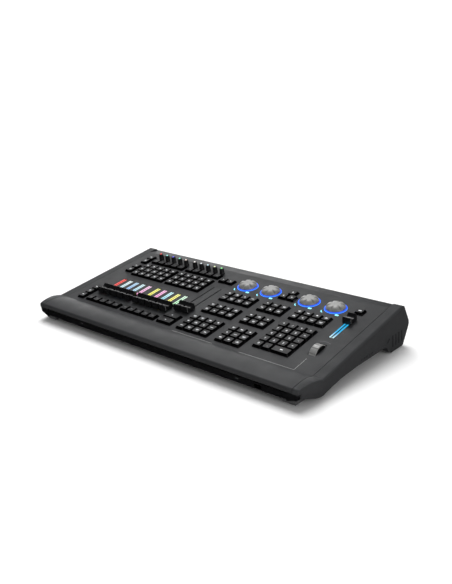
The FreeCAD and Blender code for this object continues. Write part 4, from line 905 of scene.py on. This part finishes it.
def make_vent_shade_fill(made):
    """Black fills in the cheeks' cooling slots and black sheets behind them: painted shade for the dark
    inside of the cheeks.
    """
    slots = [slanted_slot(233.0 + SLOT_PITCH * index, -23.5, 0.0, 4.0, 3.2) for index in range(SLOT_COUNT)]
    slots += [slanted_slot(121.0 + SLIT_PITCH * index, -10.4, -6.6, -3.0, 2.6) for index in range(SLIT_COUNT)]
    slots.append(GILL_SHADE_FILL)
    for name, sign in (("cheek_right", 1), ("cheek_left", -1)):
        low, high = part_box(name)
        face = (high.x if sign > 0 else low.x) / MM
        mesh = bmesh.new()
        for outline in (HEEL_SHADE_SHEET, SLIT_SHADE_SHEET):
            add_prism(mesh, outline, *sorted((0.0, sign * SHADE_SHEET_THICK)))
        for outline in slots:
            add_prism(mesh, outline, *sorted((sign * 0.5, sign * (SHADE_FILL_BACK - SHADE_FILL_FACE))))
        place = Matrix.Translation(((face - sign * SHADE_FILL_BACK) * MM, FOLD.y, FOLD.z)) @ SHADE_PIECE_TURN
        new_piece(f"vent_shade_fill_{name[6:]}", mesh, [made["hole"]], "chassis", place)


# The rear sockets, in millimetres: columns, height above the floor and the flange's thickness.
DATA_OUTLETS = (-60.0, -20.0)
NETWORK_X = 30.0
MAINS_X = -180.0
SOCKET_Z = 40.0
FLANGE = 2.0
PIN_CIRCLE = 5.0
PIN_COUNT = 5
CONTACT_COUNT = 8
CONTACT_PITCH = 1.03


def make_rear_fittings(made):
    """Contacts inside the rear sockets, and black discs at the data outlets' pin holes as painted shade."""
    mesh = bmesh.new()
    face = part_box("rear_panel")[1].y / MM + FLANGE
    # Black discs at the pin holes: painted shade for the holes' depth.
    for x in DATA_OUTLETS:
        for u, v in circle(PIN_CIRCLE, PIN_COUNT, math.pi / 2):
            pin = [(x + u + across, SOCKET_Z + v + up) for across, up in circle(1.3, 14)]
            add_prism(mesh, pin, -0.3, 0.05)
    for index in range(CONTACT_COUNT):
        x = NETWORK_X - 3.6 + index * CONTACT_PITCH
        add_prism(mesh, box_outline(x, SOCKET_Z + 2.6, 0.45, 2.4), -11.0, -4.0, 1)
    for offset, rise in ((-7.0, -1.0), (0.0, 2.0), (7.0, -1.0)):
        blade = box_outline(MAINS_X + offset, SOCKET_Z + rise, 2.0, 4.0)
        add_prism(mesh, blade, -11.5, -3.0, 1)
    upright = Matrix.Rotation(math.pi / 2, 4, "X")
    turned = Matrix.Rotation(math.pi, 4, "Z") @ upright @ Matrix.Diagonal((-1, 1, 1, 1))
    place = Matrix.Translation((0, face * MM, 0)) @ turned
    new_piece(
        "rear_contacts", mesh, [made["hole"], made["contact"]], "chassis", place
    )


def soften_node(name, width):
    """Round a CAD node's sharp edges without changing its mesh."""
    node = frame["nodes"][name]
    weld = node.modifiers.new("weld", "WELD")
    weld.merge_threshold = 1e-5
    flat = node.modifiers.new("flat", "DECIMATE")
    flat.decimate_type = "DISSOLVE"
    flat.angle_limit = math.radians(0.4)
    soften(node, width)


def paint_nodes(made):
    """Materials of the CAD nodes that stay."""
    finishes = {
        "panel": ["top_panel"],
        "cheek": ["cheek_right", "cheek_left"],
        "case": ["base_tray", "rear_panel"],
        # Black plastic with painted shade of the recessed front.
        "front": ["front_rail", "corner_blocks"],
        "foot": ["rubber_feet"],
        "steel": ["fader_cases", "encoder_cases", "front_usb_socket"],
        "board": ["key_boards", "main_electronics"],
        "socket": ["rear_sockets"],
        "screw": ["case_screws"],
    }
    for finish, names in finishes.items():
        for name in names:
            data = frame["nodes"][name].data
            data.materials.clear()
            data.materials.append(made[finish])


# ---------------------------------------------------------------- stage
FLOOR_RADIUS = 20000.0


def make_stage():
    """Pale floor, a dome that is bright at the horizon, a soft sun, three soft lights and the camera."""
    mesh = bmesh.new()
    add_lid(mesh, add_ring(mesh, circle(FLOOR_RADIUS, 96), (0, 0), 0.0))
    floor = new_stage_piece("studio_floor", mesh)
    floor.visible_glossy = False
    pale = surface("studio_paint", (0.93, 0.93, 0.93), 0.9, grain=40.0, bump=0.0, tone=0.005)
    pale.node_tree.nodes["Principled BSDF"].inputs["Specular IOR Level"].default_value = 0.0
    floor.data.materials.append(pale)
    world = bpy.data.worlds.new("studio_dome")
    bpy.context.scene.world = world
    world.use_nodes = True
    world.cycles_visibility.glossy = False
    tree = world.node_tree
    direction = tree.nodes.new("ShaderNodeTexCoord").outputs["Generated"]
    parts = tree.nodes.new("ShaderNodeSeparateXYZ")
    tree.links.new(direction, parts.inputs[0])
    fading = {"From Min": 0.1, "From Max": 0.25, "To Min": 1.1, "To Max": 0.3}
    fade = add_node(tree, "ShaderNodeMapRange", **fading)
    tree.links.new(parts.outputs["Z"], fade.inputs["Value"])
    tree.links.new(fade.outputs["Result"], tree.nodes["Background"].inputs["Strength"])
    tree.nodes["Background"].inputs["Color"].default_value = (1.0, 1.0, 1.0, 1.0)
    add_sun()
    add_area("overhead_light", (-1.3, 1.5, 2.6), (1.4, 1.4), 14.0)
    add_area("back_sheen", (-2.3, 2.1, 0.75), (2.4, 0.9), 16.0)
    add_area("side_fill", (2.4, -0.6, 1.0), (1.2, 1.2), 9.0)
    add_camera()


def new_stage_piece(name, mesh):
    """Object that is part of the studio and not of the desk."""
    data = bpy.data.meshes.new(name)
    mesh.to_mesh(data)
    mesh.free()
    piece = bpy.data.objects.new(name, data)
    bpy.context.scene.collection.objects.link(piece)
    return piece


def add_area(name, position, size, power):
    """Rectangular soft light that faces the desk and isn't seen itself."""
    light = bpy.data.lights.new(name, "AREA")
    light.shape = "RECTANGLE"
    light.size, light.size_y = size
    light.energy = power
    holder = bpy.data.objects.new(name, light)
    holder.location = position
    holder.visible_camera = False
    holder.rotation_euler = (-Vector(position)).to_track_quat("-Z", "Y").to_euler()
    bpy.context.scene.collection.objects.link(holder)


def add_sun():
    """Very soft light from the back left, which lights the whole floor evenly."""
    light = bpy.data.lights.new("soft_sun", "SUN")
    light.energy = 3.0
    light.angle = math.radians(42)
    holder = bpy.data.objects.new("soft_sun", light)
    holder.rotation_euler = Vector((0.42, -0.5, -1.0)).to_track_quat("-Z", "Y").to_euler()
    holder.visible_glossy = False
    bpy.context.scene.collection.objects.link(holder)


def add_camera():
    """Camera above the desk's front right corner."""
    lens = bpy.data.cameras.new("studio_camera")
    lens.sensor_width = 36.0
    lens.lens = 42.9
    lens.clip_start = 0.05
    lens.clip_end = 50.0
    camera = bpy.data.objects.new("studio_camera", lens)
    camera.location = (0.832, -0.981, 0.509)
    camera.rotation_euler = (math.radians(71.46), 0.0, math.radians(39.26))
    bpy.context.scene.collection.objects.link(camera)
    bpy.context.scene.camera = camera


def build():
    """Make every piece."""
    made = make_materials()
    paint_nodes(made)
    soften_node("cheek_right", 0.3)
    soften_node("cheek_left", 0.3)
    soften_node("front_rail", 0.4)
    for body in frame["bodies"]:
        if body.endswith(("_keys", "_key")):
            make_key_bank(body, made)
        elif "fader" in body:
            make_fader(body, made)
    make_tracks(made)
    for number in range(1, 11):
        make_lit_knob(number, made)
    for number in range(1, 5):
        make_dial(number, made)
    make_light_rings()
    make_level_wheel(made)
    make_prints(made)
    make_front_marks(made)
    make_rear_fittings(made)
    make_vent_shade_fill(made)


bpy.context.scene.view_settings.view_transform = "Standard"
build()
make_stage()
